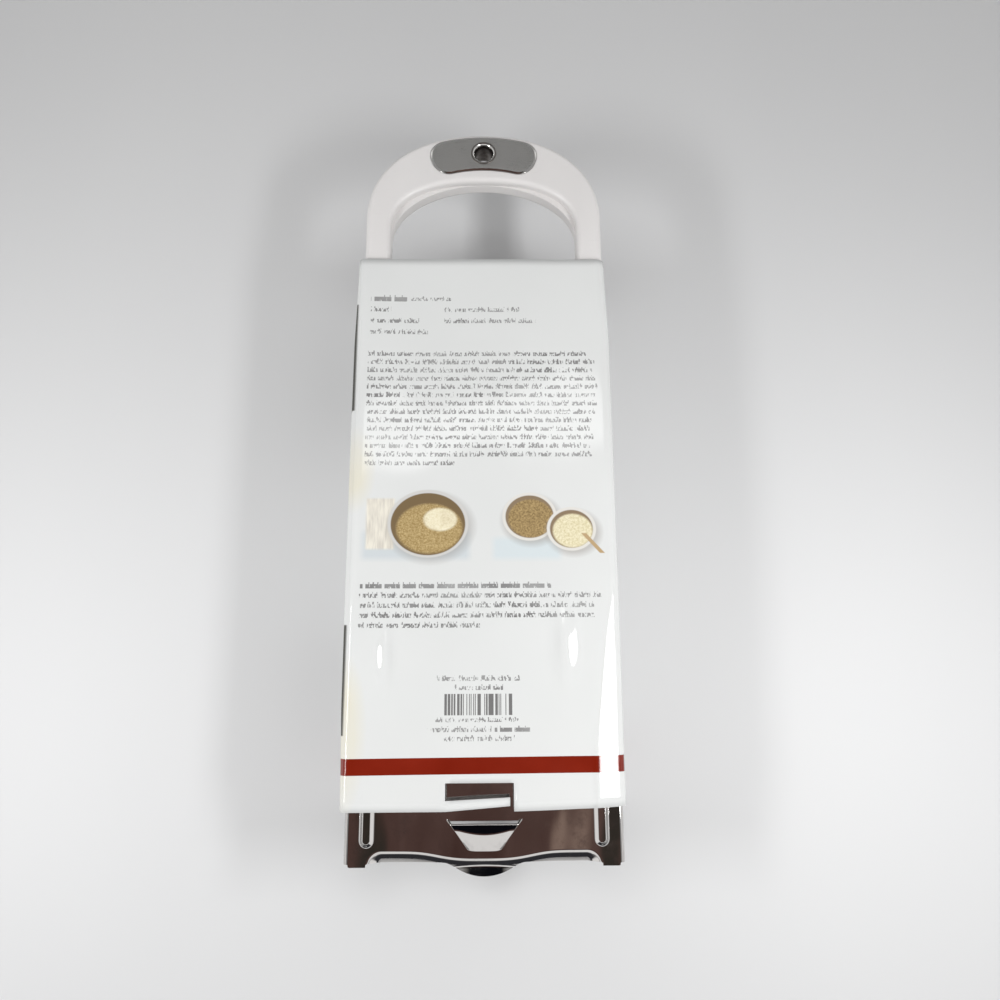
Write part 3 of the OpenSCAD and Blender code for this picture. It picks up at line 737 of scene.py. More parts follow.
def printed(net, place, paper, blocks):
    """Paper with rows of small dark marks."""
    marks = []
    for seed, (left, right, last, top, pitch, rows, height, bold) in enumerate(blocks):
        rows_of_marks = net.use(PRINT_ROWS, place=place, left=left, right=right, last_right=last, top=top,
                                pitch=pitch, rows=float(rows), letter_height=height, boldness=bold,
                                seed=seed * 3.17)
        marks.append(rows_of_marks["Ink"])
    worn = net.span(net.noise(place, 0.05, 2.0), 0.3, 0.7, 0.56, 0.82)
    return net.tint(net.product(net.most(*marks), worn), paper, INK)


def upper_print(net, place, paper):
    return printed(net, place, paper, UPPER_PRINT)


def picture_print(net, place, paper):
    return bowls_picture(net, place, pan_picture(net, place, paper))


def lower_print(net, place, paper):
    bars = net.use(BAR_STRIP, place=place, left=-17.1, right=12.2, low=-109.2, high=-100.4)["Ink"]
    paper = net.tint(net.product(bars, 0.85), paper, INK)
    return stripe(net, place, printed(net, place, paper, LOWER_PRINT))


def stripe(net, place, paper):
    """Deep red stripe round the lower end of the sleeve."""
    x, y, _ = net.split(place)
    low = net.math("MULTIPLY_ADD", x, 0.006, -132.9)
    mask = net.product(net.math("GREATER_THAN", y, low), net.math("LESS_THAN", y, net.math("ADD", low, 6.7)))
    cloud = net.span(net.noise(place, 0.04, 2.0), 0.3, 0.7)
    return net.tint(mask, paper, net.tint(cloud, (0.18, 0.011, 0.003, 1), (0.23, 0.018, 0.007, 1)))


def wall_panels_and_stripe(net, place, paper):
    """Dark olive panels on the left wall, and the stripe."""
    x, y, z = net.split(place)
    wall_place = net.join(z, y, 0.0)
    dark = net.most(*(box(net, wall_place, 18.0, 62.2, low, high, 0.5) for low, high in WALL_PANELS))
    olive = net.tint(net.span(net.noise(place, 0.9, 4.0, 0.7), 0.3, 0.7), (0.018, 0.018, 0.013, 1),
                     (0.05, 0.05, 0.035, 1))
    return net.tint(net.product(dark, net.math("LESS_THAN", x, -58.6)), stripe(net, place, paper), olive)


def coated_card(draw):
    """White coated card with stains and creases, and what draw prints on it."""
    def make(net):
        place = net.place()
        face = net.use(CARD_FACE, place=place)
        cloud = face["Cloud"]
        colour = net.tint(net.span(cloud, 0.3, 0.7), (0.72, 0.73, 0.722, 1), (0.75, 0.76, 0.752, 1))
        stain = net.product(
            net.most(*(disc(net, place, *spot) for spot in STAINS)),
            net.span(cloud, 0.35, 0.6, 0.37, 0.75), net.span(net.split(place)[2], 46.0, 60.0))
        colour = draw(net, place, net.tint(stain, colour, (0.75, 0.71, 0.57, 1)))
        creases = net.most(*(
            net.product(net.use(SOFT_HUMP, place=place, middle_x=x, middle_y=y, half_width=wide,
                                         half_height=high)["Height"], depth)
            for x, y, wide, high, depth in CREASES))
        height = net.math("ADD", creases, net.product(face["Fibre"], 0.002))
        rough = net.span(face["Fibre"], 0.3, 0.7, 0.05, 0.09)
        return {"Base Color": colour, "Roughness": rough, "Normal": net.bump(height, 1.0, 0.001)}
    return make


def raw_card(tones):
    def make(net):
        place = net.place()
        face = net.use(CARD_FACE, place=place, cloud_size=25.0, fibre_size=0.7)
        colour = net.tint(net.span(face["Fibre"], 0.3, 0.75), grey(tones[0]), grey(tones[1]))
        return {"Base Color": colour, "Roughness": net.span(face["Fibre"], 0.3, 0.7, 0.75, 0.92),
                "Normal": net.bump(face["Fibre"], 0.3, 0.0001)}
    return make


def pale_floor(net):
    place = net.place()
    soft = net.noise(net.stretch(place, (1.0, 0.4, 1.0)), 0.004, 3.0)
    grain = net.noise(place, 0.8, 3.0, 0.6)
    colour = net.tint(net.span(soft, 0.3, 0.7), (0.69, 0.692, 0.697, 1), (0.72, 0.722, 0.725, 1))
    return {"Base Color": colour, "Roughness": net.span(grain, 0.3, 0.7, 0.55, 0.65)}


BED_STEEL = material("polished_bed_steel", polished_steel, metallic=1.0)
BADGE_STEEL = material("satin_badge_steel", brushed_steel((0.35, 9.0, 6.0), (0.41, 0.52)), metallic=1.0)
HOPPER_STEEL = material("brushed_hopper_steel", brushed_steel((0.2, 0.2, 7.0)), metallic=1.0)
BRIGHT_STEEL = material("bright_rivet_steel", bright_steel, metallic=1.0)
EYELET_STEEL = material("eyelet_steel", eyelet_steel, metallic=1.0)
PLASTIC = material("white_handle_plastic", white_plastic, coat=0.15, coat_rough=0.22)
CARD_PLAIN = material("sleeve_card_walls", coated_card(wall_panels_and_stripe))
CARD_UPPER = material("sleeve_card_upper_print", coated_card(upper_print))
CARD_MIDDLE = material("sleeve_card_pictures", coated_card(picture_print))
CARD_LOWER = material("sleeve_card_lower_print", coated_card(lower_print))
CARD_IN = material("sleeve_card_inside", raw_card((0.45, 0.55)))
CARD_EDGE = material("sleeve_card_edge", raw_card((0.6, 0.72)))
FLOOR = material("pale_floor", pale_floor)


# ---------- steel bed ----------

def lip_fold():
    """Plan points where the end lip starts to bend, with their outward directions, left to right."""
    points = []
    turn_steps, dip_steps = 18, 84
    for k in range(turn_steps):
        a = math.pi - math.pi / 2 * k / turn_steps
        points.append((-LIP_END_X + LIP_TURN_R * math.cos(a), END_Y + LIP_TURN_R * math.sin(a),
                       -math.cos(a), -math.sin(a)))
    for k in range(dip_steps + 1):
        x = LIP_END_X * (2 * k / dip_steps - 1)
        share = abs(x) / LIP_DIP_HALF
        dip = LIP_SAG * math.exp(-share ** LIP_DIP_POWER)
        slope = math.copysign(dip * LIP_DIP_POWER * share ** (LIP_DIP_POWER - 1) / LIP_DIP_HALF, x)
        size = math.hypot(1, slope)
        points.append((x, END_Y + LIP_TURN_R - dip, slope / size, -1 / size))
    for k in range(turn_steps - 1, -1, -1):
        x, y, nx, ny = points[k]
        points.append((-x, y, -nx, ny))
    return points


def lip_free_edge(x):
    """Free edge of the lip in plan: straight at the sides, round at the thumb tongue."""
    inside = TONGUE_R ** 2 - x * x
    tongue = TONGUE_Y - math.sqrt(inside) if inside > 0 else 0.0
    blend = 0.7
    both = -math.log(math.exp(-LIP_EDGE_Y / blend - 240) + math.exp(-tongue / blend - 240)) - 240
    return both * blend


def lip_bend(run):
    """Drop and slope of the lip at a distance from its fold: a tight bend, then a slow curve."""
    first = LIP_BEND_R * math.sin(LIP_TURN_IN)
    if run < first:
        rest = math.sqrt(LIP_BEND_R ** 2 - run ** 2)
        return LIP_BEND_R - rest, run / rest
    turned = math.sin(LIP_TURN_IN) + (run - first) / LIP_CURVE_R
    rest = math.sqrt(1 - turned ** 2)
    drop = LIP_BEND_R * (1 - math.cos(LIP_TURN_IN)) + LIP_CURVE_R * (math.cos(LIP_TURN_IN) - rest)
    return drop, turned / rest


def lip_level(run, foot):
    """Drop of the lip at a distance from its fold; past the foot the thumb tongue curls up."""
    ease = 0.55
    start = foot - ease
    if run <= start:
        return lip_bend(max(0.0, run))[0]
    drop, slope = lip_bend(start)
    last = -math.tan(TONGUE_CURL)
    past = run - start
    if past <= 2 * ease:
        return drop + slope * past + (last - slope) * past ** 2 / (4 * ease)
    return drop + (slope + last) * ease + last * (past - 2 * ease)


def end_lip(skin):
    """Lip bent down at the free end, each column of points cut off at the lip's free edge."""
    runs = [-MARGIN, 0, 0.22, 0.44, 0.66, 0.88, 1.1, 1.3, 1.7, 2.1, 2.6,
            3.1, 3.5, 3.8, 4.1, 4.4, 4.7, 5.0, 5.4, 6.0, 7.0, LIP_LONGEST]
    no_foot = 99.0
    step = 0.02
    columns = []
    for x, y, nx, ny in lip_fold():
        foot = (y - TONGUE_FOOT_Y + (x / 14) ** 2) if abs(x) < TONGUE_HALF else no_foot
        limit = 0.0
        while limit < LIP_LONGEST:
            px, py = x + nx * (limit + step), y + ny * (limit + step)
            if py < lip_free_edge(px) or (abs(px) > 20 and limit > LIP_REACH):
                break
            limit += step
        columns.append([(x + nx * r, y + ny * r, BED_BACK - lip_level(r, foot))
                        for r in (min(run, limit) for run in runs)])
    rows = [[column[k] for column in columns] for k in range(len(runs))]
    rows.reverse()
    skin.grid(rows)


def catch_rise(u, v):
    """Rise of the catch: steep sides, a straight ramp with a bowed upper end, and a brow at its mouth."""
    side = smooth_step((1 - abs(u)) / CATCH_SIDE)
    end = 0.62 + 0.15 * min(1.0, abs(u) / 0.76) ** 2
    ease = 0.07
    run = v / end
    if run < 1 - ease:
        ramp = run
    elif run < 1 + ease:
        ramp = run - (run - 1 + ease) ** 2 / (4 * ease)
    else:
        ramp = 1.0
    fall = 0.08 * (CATCH_MOUTH_Y - CATCH_TAIL_Y) * max(0.0, v - (1 + ease) * end)
    return side * (CATCH_HEIGHT * ramp * smooth_step(0.35 + v * 12) - fall)


def rim_catch(skin):
    """Pressed scoop whose mouth faces the handle; returns the outline of its hole in the sheet."""
    across, along = 60, 34
    curl = [(0.18, 0.03), (0.36, 0.13), (0.5, 0.3), (0.56, 0.5)]  # out and down at the mouth
    rows = []
    for j in range(along + 1 + len(curl)):
        v = min(1.0, j / along)
        half = lerp(CATCH_TAIL_HALF, CATCH_MOUTH_HALF, v)
        out, down = curl[j - along - 1] if j > along else (0.0, 0.0)
        row = []
        for i in range(across + 1):
            u = math.sin(math.pi / 2 * (2 * i / across - 1))
            side = smooth_step((1 - abs(u)) / CATCH_SIDE)
            mouth_y = CATCH_MOUTH_Y - CATCH_SCOOP * side
            tail = CATCH_TAIL_Y + 1.2 * abs(u) ** 6
            y = lerp(tail, mouth_y, v) + out * side
            row.append((u * half, y, BED_BACK + catch_rise(u, v) - down * side))
        rows.append(row)
    skin.grid(rows)
    path = [row[0] for row in rows[along::-1]] + rows[0][1:-1] + [row[-1] for row in rows[:along + 1]]
    border = []
    for x, y, _ in path:
        away = Vector((x, y - CATCH_MOUTH_Y - 1.4, 0)).normalized() * 0.25
        border.append((x + away.x, y + away.y, BED_BACK))
    skin.grid([border, [(x, y, BED_BACK) for x, y, _ in path]])
    corner_x, corner_y = CATCH_MOUTH_HALF - 1.7, CATCH_MOUTH_Y - 0.8
    return border + [(corner_x, corner_y, BED_BACK), (-corner_x, corner_y, BED_BACK)]


def bead(skin, side):
    """Long flat-topped bead with rounded ends; returns its outline."""
    end_steps, slope_steps = 20, 8

    def ring(inset, height):
        r = BEAD_HALF - inset
        x = side * BEAD_X
        turns = [math.pi * k / end_steps for k in range(end_steps + 1)]
        low = [(x - r * math.cos(a), BEAD_NEAR_Y - r * math.sin(a), height) for a in turns]
        high = [(x + r * math.cos(a), BEAD_FAR_Y + r * math.sin(a), height) for a in turns]
        return low + high

    rings = [ring(-MARGIN, BED_BACK)]
    for k in range(slope_steps + 1):
        t = k / slope_steps
        rings.append(ring(BEAD_SLOPE * t, BED_BACK + BEAD_HEIGHT * lerp(smooth_step(t), t, 0.6)))
    for outer, inner in zip(rings, rings[1:]):
        skin.grid([outer, inner], closed=True)
    skin.face(rings[-1])
    return rings[0]


def side_rail(skin, side):
    """Side fold of the bed: outer bend, wall, inner bend and the lip under the bed."""
    inner = BED_HALF - BEND
    section = [(inner - MARGIN, 0.0), (inner, 0.0)]
    section += [(inner + BEND * math.sin(a), BEND * math.cos(a) - BEND) for a in quarter(6)[1:]]
    section += [(inner + BEND * math.cos(a), BEND - RAIL_DROP - BEND * math.sin(a)) for a in quarter(6)]
    section.append((BED_HALF - RAIL_LIP, -RAIL_DROP))
    rows = []
    for y, lean in ((END_Y + CORNER_SET, RAIL_LEAN), (RAIL_END_Y, 0.0)):
        rows.append([(side * (x + lean * min(1.0, -z / (RAIL_DROP - BEND))), y, BED_BACK + z)
                     for x, z in section])
    if side < 0:
        rows.reverse()
    skin.grid(rows)


def bed_outline():
    """Outer edge of the level part of the bed: along the lip, then up the right side and down the left."""
    inner = BED_HALF - BEND
    lip = [(x - MARGIN * nx, y - MARGIN * ny) for x, y, nx, ny in lip_fold()]
    right = [(inner - 0.8, END_Y), (inner - 0.35, END_Y + 0.25), (inner - MARGIN, END_Y + CORNER_SET),
             (inner - MARGIN, RAIL_END_Y), (TANG_HALF, RAIL_END_Y), (TANG_HALF, TOP_Y)]
    return lip + right + [(-x, y) for x, y in reversed(right)]


def circle(x, y, r, steps=32):
    turns = [2 * math.pi * k / steps for k in range(steps)]
    return [(x + r * math.cos(a), y + r * math.sin(a)) for a in turns]


def bed_holes():
    """Staggered rows of dough holes, and the rivet holes."""
    holes = []
    for row in range(HOLE_ROWS):
        odd = row % 2
        for col in range(-HOLE_COLUMNS, HOLE_COLUMNS + 1 - odd):
            holes.append(circle((col + odd / 2) * HOLE_PITCH_X, FIRST_HOLE_Y + row * HOLE_PITCH_Y, HOLE_R))
    return holes + [circle(x, RIVET_Y, RIVET_HOLE_R) for x in RIVET_X]


def level(plan):
    """Plan points on the face of the bed."""
    return [(x, y, BED_BACK) for x, y in plan]


def steel_bed():
    """Folded and pressed sheet: the formed parts first, then the level sheet that joins them."""
    skin = Skin()
    loops = [level(bed_outline())]
    end_lip(skin)
    loops.append(rim_catch(skin))
    for side in (-1, 1):
        side_rail(skin, side)
        loops.append(bead(skin, side))
    skin.fill(loops + [level(hole) for hole in bed_holes()])
    obj = skin.piece("steel_bed", 40)
    thicken(obj, SHEET)
    bake(obj, 40)
    even_normals(obj)
    obj.data.materials.append(BED_STEEL)
    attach(obj, "bed")
    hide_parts("bed_plate")


# ---------- handle ----------

def arch_point(a, w, h, n):
    """Point of an arch of half width w and height h; n is the power of its curve."""
    c, s = math.cos(a), max(0.0, math.sin(a))
    return math.copysign(w * abs(c) ** (2 / n), c), h * s ** (2 / n)


def loop_outline(w, y0, y1, h, n, r):
    """Closed outline of the handle's loop: arch, legs, bottom corners and bridge edge."""
    arch_steps, leg_steps, corner_steps, base_steps = 96, 6, 8, 10
    points = []
    for i in range(arch_steps + 1):
        x, y = arch_point(math.pi * i / arch_steps, w, h, n)
        points.append((x, y + y1))
    for k in range(1, leg_steps):
        points.append((-w, y1 + (y0 + r - y1) * k / leg_steps))
    points += [(-w + r - r * math.cos(a), y0 + r - r * math.sin(a)) for a in quarter(corner_steps)]
    for k in range(1, base_steps):
        points.append(((w - r) * (2 * k / base_steps - 1), y0))
    points += [(w - r + r * math.sin(a), y0 + r - r * math.cos(a)) for a in quarter(corner_steps)]
    for k in range(leg_steps - 1, 0, -1):
        points.append((w, y1 + (y0 + r - y1) * k / leg_steps))
    return points


def shell_section(p, q, h, side):
    """Section of one shell between its inner and outer points, rounded at its long edges."""
    w = math.dist(p, q)
    e = ((q[0] - p[0]) / w, (q[1] - p[1]) / w)
    r = GRIP_EDGE_R
    rise = [(GRIP_SEAM, 0.0), (0.0, GRIP_SEAM_H)]
    rise += [(r - r * math.cos(a), h - r + r * math.sin(a)) for a in quarter(8)]
    rise += [(w - r + r * math.sin(a), h - r + r * math.cos(a)) for a in quarter(8)]
    rise += [(w, GRIP_SEAM_H), (w - GRIP_SEAM, 0.0)]
    return [(p[0] + e[0] * s, p[1] + e[1] * s, BED_BACK + side * z) for s, z in rise]


def handle_shell(name, face_z, inner_arch, side):
    """One half of the loop, from the bed's plane to face_z; side is 1 for the back and -1 for the front."""
    outer = loop_outline(GRIP_HALF, BRIDGE_Y, CROWN_Y - OUTER_ARCH[0], *OUTER_ARCH, GRIP_CORNER_R)
    inner = loop_outline(GRIP_HALF - GRIP_LEG, BRIDGE_TOP_Y, CROWN_Y - CROWN_DEPTH - inner_arch[0],
                         *inner_arch, GRIP_CORNER_R)
    skin = Skin()
    h = abs(face_z - BED_BACK)
    wrap(skin, [shell_section(p, q, h, side) for p, q in zip(inner, outer)], flip=side < 0)
    obj = skin.piece(name, 40)
    carve(obj, shell_cutters(face_z, side))
    even_normals(obj)
    obj.data.materials.append(PLASTIC)
    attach(obj, "bed")
    return obj


def shell_cutters(face_z, side):
    """Closed pieces that leave the badge's recess, the eyelet's way and the seats of the rivet heads."""
    past_face = face_z + 3.0 * side
    skin = Skin()
    prism(skin, badge_outline(-0.22), face_z - side * (BADGE_THICK - BADGE_PROUD), past_face)
    recess = skin.piece("badge_recess")
    skin = Skin()
    prism(skin, circle(0.0, EYELET_Y, EYELET_HOLE_R, 64), BED_BACK - side * 2, past_face)
    for x in RIVET_X:
        prism(skin, circle(x, RIVET_Y, RIVET_HEAD_R, 48), face_z - side * RIVET_HEAD_DEEP, past_face)
    return [recess, skin.piece("shell_holes")]


def badge_outline(inset):
    """Bar with round ends, bent round an arc along the crown."""
    cap_steps, long_steps = 20, 30
    half_l, half_h, r = BADGE_HALF_L - inset, BADGE_HALF_H - inset, BADGE_CAP_R - inset
    straight = half_l - r
    flat = []
    for cx, cy, start in ((straight, half_h - r, 0), (-straight, half_h - r, 90),
                          (-straight, r - half_h, 180), (straight, r - half_h, 270)):
        for k in range(cap_steps + 1):
            a = math.radians(start + 90 * k / cap_steps)
            flat.append((cx + r * math.cos(a), cy + r * math.sin(a)))
        if start in (0, 180):
            way = 1 if start == 0 else -1
            flat += [(way * straight * (1 - 2 * k / long_steps), way * half_h)
                     for k in range(1, long_steps)]
    points = []
    for u, v in flat:
        turn = u / BADGE_BEND_R
        points.append(((BADGE_BEND_R + v) * math.sin(turn),
                       EYELET_Y - BADGE_BEND_R + (BADGE_BEND_R + v) * math.cos(turn)))
    return points


def badge_plate(name, node, side):
    """Steel plate with a polished bevel, let into the crown."""
    top = (GRIP_TOP if side > 0 else GRIP_BOTTOM) + side * BADGE_PROUD
    levels = [(0.0, -BADGE_THICK), (0.0, -0.52), (0.08, -0.42), (0.95, -0.04), (1.1, 0.0)]
    rings = [[(x, y, top + side * z) for x, y in badge_outline(inset)] for inset, z in levels]
    n = len(rings[0])
    last = rings[-1]
    for t in (0.35, 0.7, 1.0):
        ring = []
        for x, y, z in last:
            a = math.atan2(y - EYELET_Y, x)
            ring.append((lerp(x, EYELET_HOLE_R * math.cos(a), t),
                         lerp(y, EYELET_Y + EYELET_HOLE_R * math.sin(a), t), z))
        rings.append(ring)
    rings.append([(x, y, top - side * BADGE_THICK) for x, y, _ in rings[-1]])
    skin = Skin()
    for outer, inner in zip(rings, rings[1:] + rings[:1]):
        for i in range(n):
            k = (i + 1) % n
            corners = [outer[i], outer[k], inner[k], inner[i]]
            skin.face(corners if side > 0 else corners[::-1])
    obj = skin.piece(name, 45)
    even_normals(obj)
    obj.data.materials.append(BADGE_STEEL)
    obj.data.materials.append(BRIGHT_STEEL)
    for polygon in obj.data.polygons[n:3 * n]:
        polygon.material_index = 1
    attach(obj, "bed")
    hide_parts(node)


def hanging_eyelet():
    """Rolled eyelet: barrel, funnels and rounded flanges at both faces."""
    middle = (GRIP_TOP + GRIP_BOTTOM) / 2
    half = (GRIP_TOP - GRIP_BOTTOM) / 2 + BADGE_PROUD
    barrel_r, bore_r, funnel = 4.8, 4.2, 3.0
    roll_at, roll_r, roll_h = 5.85, 0.45, 0.22
    profile = [(barrel_r, half - funnel)]
    profile += [(barrel_r + (1 - math.cos(a)), half - funnel + 2.98 * math.sin(a)) for a in quarter(6)[1:]]
    profile.append((6.2, half))
    for k in range(1, 8):
        a = math.pi * k / 7
        profile.append((roll_at + roll_r * math.cos(a - math.pi / 2 + 0.3),
                        half + roll_h - roll_h * math.cos(a)))
    profile += [(bore_r + 1.35 * (1 - math.cos(a)), half + 0.36 - funnel + funnel * math.sin(a))
                for a in reversed(quarter(8))]
    whole = profile + [(r, -z) for r, z in reversed(profile)]
    skin = Skin()
    lathe(skin, [(r, z + middle) for r, z in whole], 0.0, EYELET_Y)
    obj = skin.piece("bright_eyelet", 50)
    obj.data.materials.append(EYELET_STEEL)
    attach(obj, "bed")
    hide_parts("hanging_eyelet")


# ---------- card sleeve ----------

FOLD_STEPS, LEFT_COLUMNS, STRAP_COLUMNS = 6, 16, 10
TOP_COLUMNS = [lerp(-57.0, WINDOW[0], k / LEFT_COLUMNS) for k in range(LEFT_COLUMNS + 1)]
TOP_COLUMNS += [lerp(WINDOW[0], STRAP_CUT_X, k / STRAP_COLUMNS) for k in range(1, STRAP_COLUMNS + 1)]
TOP_COLUMNS += [lerp(WINDOW[1], 44.0, k / 13) for k in range(14)]


def sleeve_low_edge(x):
    """Lower edge of the sleeve: level at the left, rising a little to the right."""
    return SLEEVE_LOW_Y + 1.5 * smooth_step((x - 8) / 60)


def sleeve_section(y):
    """Outer points of the card tube at y, from the left fold over the top and round."""
    low = clamp((-62 - y) / 60)
    facet, ease_r, tilt, r = FACET * low ** 0.7, FACET_EASE_R, FACET_TILT, LEFT_FOLD_R
    fold_r = lerp(*RIGHT_FOLD_R, min(1.0, low * 2))
    wide = ease_r * math.sin(tilt) + facet * math.cos(tilt) + fold_r * (1 - math.sin(tilt))
    deep = ease_r * (1 - math.cos(tilt)) + facet * math.sin(tilt) + fold_r * math.cos(tilt)
    right_x = SLEEVE_HALF - 1.2 * smooth_step((y - 60) / 43)
    top = [(-SLEEVE_HALF + r - r * math.cos(a), SLEEVE_TOP - r + r * math.sin(a))
           for a in quarter(FOLD_STEPS)[:-1]]
    top += [(x, SLEEVE_TOP) for x in TOP_COLUMNS]
    corner = []
    for k in range(4):
        a = tilt * k / 3
        corner.append((right_x - wide + ease_r * math.sin(a), SLEEVE_TOP - ease_r * (1 - math.cos(a))))
    x, z = corner[-1]
    corner += [(x + facet * math.cos(tilt) * k / 3, z - facet * math.sin(tilt) * k / 3) for k in (1, 2)]
    for k in range(9):
        a = lerp(tilt, math.pi / 2, k / 8)
        corner.append((right_x - fold_r * (1 - math.sin(a)), SLEEVE_TOP - deep + fold_r * math.cos(a)))
    right = [(right_x, lerp(SLEEVE_TOP - deep, 3.0, k / 9)) for k in range(1, 9)]
    left_top = SLEEVE_TOP - r
    r = LOW_FOLD_R
    right_low = [(right_x - r + r * math.cos(a), r - r * math.sin(a)) for a in quarter(5)]
    base = [(lerp(right_x - r, -SLEEVE_HALF + r, k / 16), 0.0) for k in range(1, 16)]
    left_low = [(-SLEEVE_HALF + r - r * math.sin(a), r - r * math.cos(a)) for a in quarter(5)]
    left = [(-SLEEVE_HALF, lerp(r, left_top, k / 12)) for k in range(1, 12)]
    return top + corner + right + right_low + base + left_low + left


def sleeve_point(x, y, z):
    """Bulge of the side walls and the gentle waves of the top."""
    bulge = math.sin(math.pi * clamp((SLEEVE_TOP - z) / SLEEVE_TOP) ** 0.62)
    near_end = smooth_step(min(y - SLEEVE_LOW_Y, SLEEVE_HIGH_Y - y) / 45)
    along = (0.88 + 0.12 * math.cos(y / 70)) * lerp(0.4, 1.0, near_end)
    dx = 0.0
    if x < -SLEEVE_HALF + 0.01:
        dx = -LEFT_BULGE * bulge * along
    elif x > SLEEVE_HALF - 0.01:
        dx = RIGHT_BULGE * bulge * along
    dz = 0.0
    if z > SLEEVE_TOP - 0.01:
        edge = smooth_step((58 - abs(x)) / 26)
        wave = noise.noise(Vector((x / 42, y / 60, 3.1)))
        dz = edge * (-0.35 + 0.55 * wave)
    return x + dx, y, z + dz


def sleeve_rows():
    """Distances of the rows from the lower edge: the edge, both sides of the window, and on to the top."""
    steps = 64
    low, high = WINDOW[2] - SLEEVE_LOW_Y, WINDOW[3] - SLEEVE_LOW_Y
    length = SLEEVE_HIGH_Y - SLEEVE_LOW_Y
    return [0.0, low, high] + [lerp(high, length, k / steps) for k in range(1, steps + 1)]


def strap_slant(x, d):
    """Rise of the lock strap's two edges towards its cut end."""
    share = (x - WINDOW[0]) / (STRAP_CUT_X - WINDOW[0])
    return (1.3 * share if d < 4.5 else 0.0) + (0.8 if d < 1 else 0.0) * share


def sleeve_tube():
    """Card tube, open at both ends, with a window under its lock strap and a cut through the strap."""
    skin = Skin()
    rows = []
    for d in sleeve_rows():
        row = []
        for x, z in sleeve_section(SLEEVE_LOW_Y + d):
            y = SLEEVE_LOW_Y + d
            if z > SLEEVE_TOP / 2:
                y += (sleeve_low_edge(x) - SLEEVE_LOW_Y) * max(0.0, 1 - d / 60)
            if WINDOW[0] - 0.1 < x < WINDOW[1] - 0.2 and z > SLEEVE_TOP - 0.1:
                y += strap_slant(x, d)
            row.append(sleeve_point(x, y, z))
        rows.append(row)
    first = FOLD_STEPS + LEFT_COLUMNS
    cut = first + STRAP_COLUMNS
    end = cut + 1

    def open_here(i, j):
        return (j == 1 and first <= i < end) or (j == 0 and cut <= i < end)

    skin.grid(rows, closed=True, skip=open_here)
    obj = skin.piece("printed_sleeve", 60)
    for finish in (CARD_PLAIN, CARD_IN, CARD_EDGE, CARD_UPPER, CARD_MIDDLE, CARD_LOWER):
        obj.data.materials.append(finish)
    thicken(obj, CARD, inner=1, rim=2)
    bake(obj)
    for polygon in obj.data.polygons:
        x, y, z = polygon.center / MM
        if polygon.material_index == 0 and z > SLEEVE_TOP - 6 and x > 0.1 - SLEEVE_HALF:
            polygon.material_index = 3 if y > PICTURES_TOP else 4 if y > PICTURES_LOW else 5
    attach(obj, "sleeve")
    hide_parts("card_sleeve")


def sleeve_glue_flap():
    """Glued flap inside the left wall, along the lower fold."""
    skin = Skin()
    rows = []
    for k in range(33):
        y = lerp(SLEEVE_LOW_Y + 7, SLEEVE_HIGH_Y - 7, k / 32)
        row = []
        for j in range(9):
            z = lerp(*GLUE_FLAP, j / 8)
            x = sleeve_point(-SLEEVE_HALF, y, z)[0]
            row.append((x + CARD + 0.02, y, z))
        rows.append(row)
    skin.grid(rows)
    obj = skin.piece("sleeve_glue_flap", 60)
    obj.data.materials.append(CARD_IN)
    thicken(obj, -CARD)
    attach(obj, "sleeve")


# ---------- stage ----------

def floor():
    half, steps, just_below = 2400.0, 24, -0.02
    skin = Skin()
    side = [lerp(-half, half, k / steps) for k in range(steps + 1)]
    skin.grid([[(x, y, just_below) for x in side] for y in side])
    obj = skin.piece("floor")
    obj.data.materials.append(FLOOR)


def area_light(name, place, power):
    data = bpy.data.lights.new(name, "AREA")
    data.shape = "RECTANGLE"
    data.size, data.size_y = LAMP_SIZE
    data.energy = power
    obj = bpy.data.objects.new(name, data)
    obj.location = place
    obj.rotation_euler = (Vector(LAMP_AIM) - Vector(place)).to_track_quat("-Z", "Y").to_euler()
    obj.visible_camera = False
    bpy.context.scene.collection.objects.link(obj)


def brown_ceiling(net, x, plan):
    """Warm mottled ceiling with a tan spot, dark corners and a dark middle, which the bed mirrors."""
    mottle = net.noise(net.stretch(plan, (1.0, 0.6, 1.0)), 9.0, 3.0, 0.6)
    brown = net.tint(net.span(mottle, 0.35, 0.65), (0.19, 0.1, 0.083, 1), (0.35, 0.215, 0.19, 1))
    tan_spot = disc(net, plan, 0.1, -0.18, 0.022, 0.05, 0.05)
    brown = net.tint(tan_spot, brown, (0.78, 0.55, 0.45, 1))
    corners = net.product(net.span(net.math("ABSOLUTE", x), 0.147, 0.165), 0.85)
    brown = net.tint(corners, brown, (0.08, 0.083, 0.068, 1))
    dark_middle = box(net, plan, -0.22, 0.22, -0.055, 0.235, 0.02)
    return net.tint(dark_middle, brown, (0.012, 0.012, 0.018, 1))


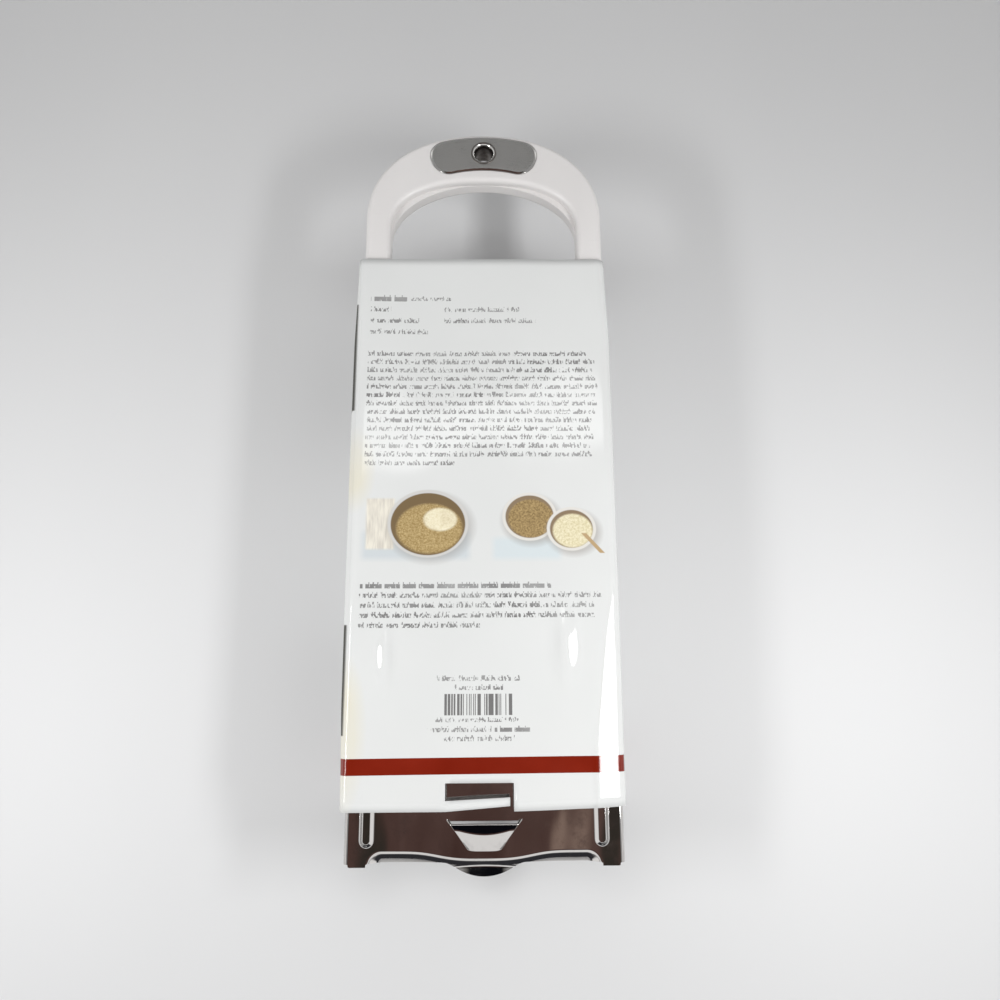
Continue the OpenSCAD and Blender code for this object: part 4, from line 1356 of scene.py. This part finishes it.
def room():
    """Pale room: dim low down beyond the free end, with bright panels and one glaring patch."""
    world = bpy.data.worlds.new("pale_room")
    world.use_nodes = True
    bpy.context.scene.world = world
    tree = world.node_tree
    tree.nodes.clear()
    net = Net(tree)
    out = net.node("ShaderNodeOutputWorld")
    back = net.node("ShaderNodeBackground")
    net.put(out.inputs[0], back.outputs[0])
    source = net.node("ShaderNodeTexCoord")
    x, y, z = net.split(source.outputs["Generated"])
    up = net.math("MAXIMUM", z, 0.02)
    plan_x, plan_y = net.over(x, up), net.over(y, up)
    plan = net.join(plan_x, plan_y, 0.0)

    dim_end = net.product(net.span(y, -0.45, -0.8), net.span(z, 0.45, 0.2))
    colour = net.tint(dim_end, grey(1.0), (0.1, 0.1, 0.115, 1))
    end_panel = net.product(net.span(net.math("ABSOLUTE", plan_x), 0.85, 0.6),
                            net.span(plan_y, -0.4, -0.5), net.span(plan_y, -3.2, -2.7))
    colour = net.tint(end_panel, colour, grey(2.6))
    side_panels = net.product(net.span(net.math("ABSOLUTE", x), 0.45, 0.6),
                              net.span(z, 0.06, 0.14), net.span(z, 0.62, 0.5))
    colour = net.tint(side_panels, colour, grey(2.7))
    ceiling = disc(net, plan, 0.0, -0.12, 0.34, 0.42, 0.12)
    colour = net.tint(ceiling, colour, brown_ceiling(net, x, plan))

    ragged = net.noise(plan, 14.0, 2.0)
    slanted = net.math("MULTIPLY_ADD", plan_x, -0.14, plan_y)
    shifted = net.join(net.math("MULTIPLY_ADD", ragged, 0.08, plan_x),
                       net.math("MULTIPLY_ADD", ragged, -0.06, slanted), 0.0)
    glare_patch = box(net, shifted, -0.13, 0.19, 0.255, 0.347, 0.01)
    net.put(back.inputs["Color"], net.tint(glare_patch, colour, grey(9.5)))
    back.inputs["Strength"].default_value = 0.36


def camera():
    data = bpy.data.cameras.new("camera")
    data.lens = CAMERA_LENS
    data.sensor_width = 36.0
    data.clip_start = 0.01
    obj = bpy.data.objects.new("camera", data)
    obj.location = CAMERA_PLACE
    obj.rotation_euler = tuple(math.radians(a) for a in CAMERA_TURN)
    bpy.context.scene.collection.objects.link(obj)
    bpy.context.scene.camera = obj


# ---------- the whole scene ----------

camera()
floor()
room()
area_light("right_lamp", (0.28, -0.115, 0.35), 0.87)
area_light("left_lamp", (-0.35, -0.115, 0.35), 0.9)

steel_bed()
back_shell = handle_shell("handle_back", GRIP_TOP, BACK_ARCH, 1)
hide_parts("handle_back_shell")
front_shell = handle_shell("handle_front", GRIP_BOTTOM, FRONT_ARCH, -1)
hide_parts("handle_front_shell")
badge_plate("badge_back", "badge_plate_back", 1)
badge_plate("badge_front", "badge_plate_front", -1)
hanging_eyelet()
sleeve_tube()
sleeve_glue_flap()

CARRIED = {
    "handle_rivets": BRIGHT_STEEL,
    "hopper_body": HOPPER_STEEL,
    "hopper_rim_wire": BRIGHT_STEEL,
    "hopper_runner_left": HOPPER_STEEL,
    "hopper_runner_right": HOPPER_STEEL,
    "runner_rivets": BRIGHT_STEEL,
}
for name, finish in CARRIED.items():
    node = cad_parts[name]
    if node.material_slots:
        for spot in node.material_slots:
            spot.material = finish
    else:
        node.data.materials.append(finish)

bpy.context.scene.view_settings.view_transform = "Standard"
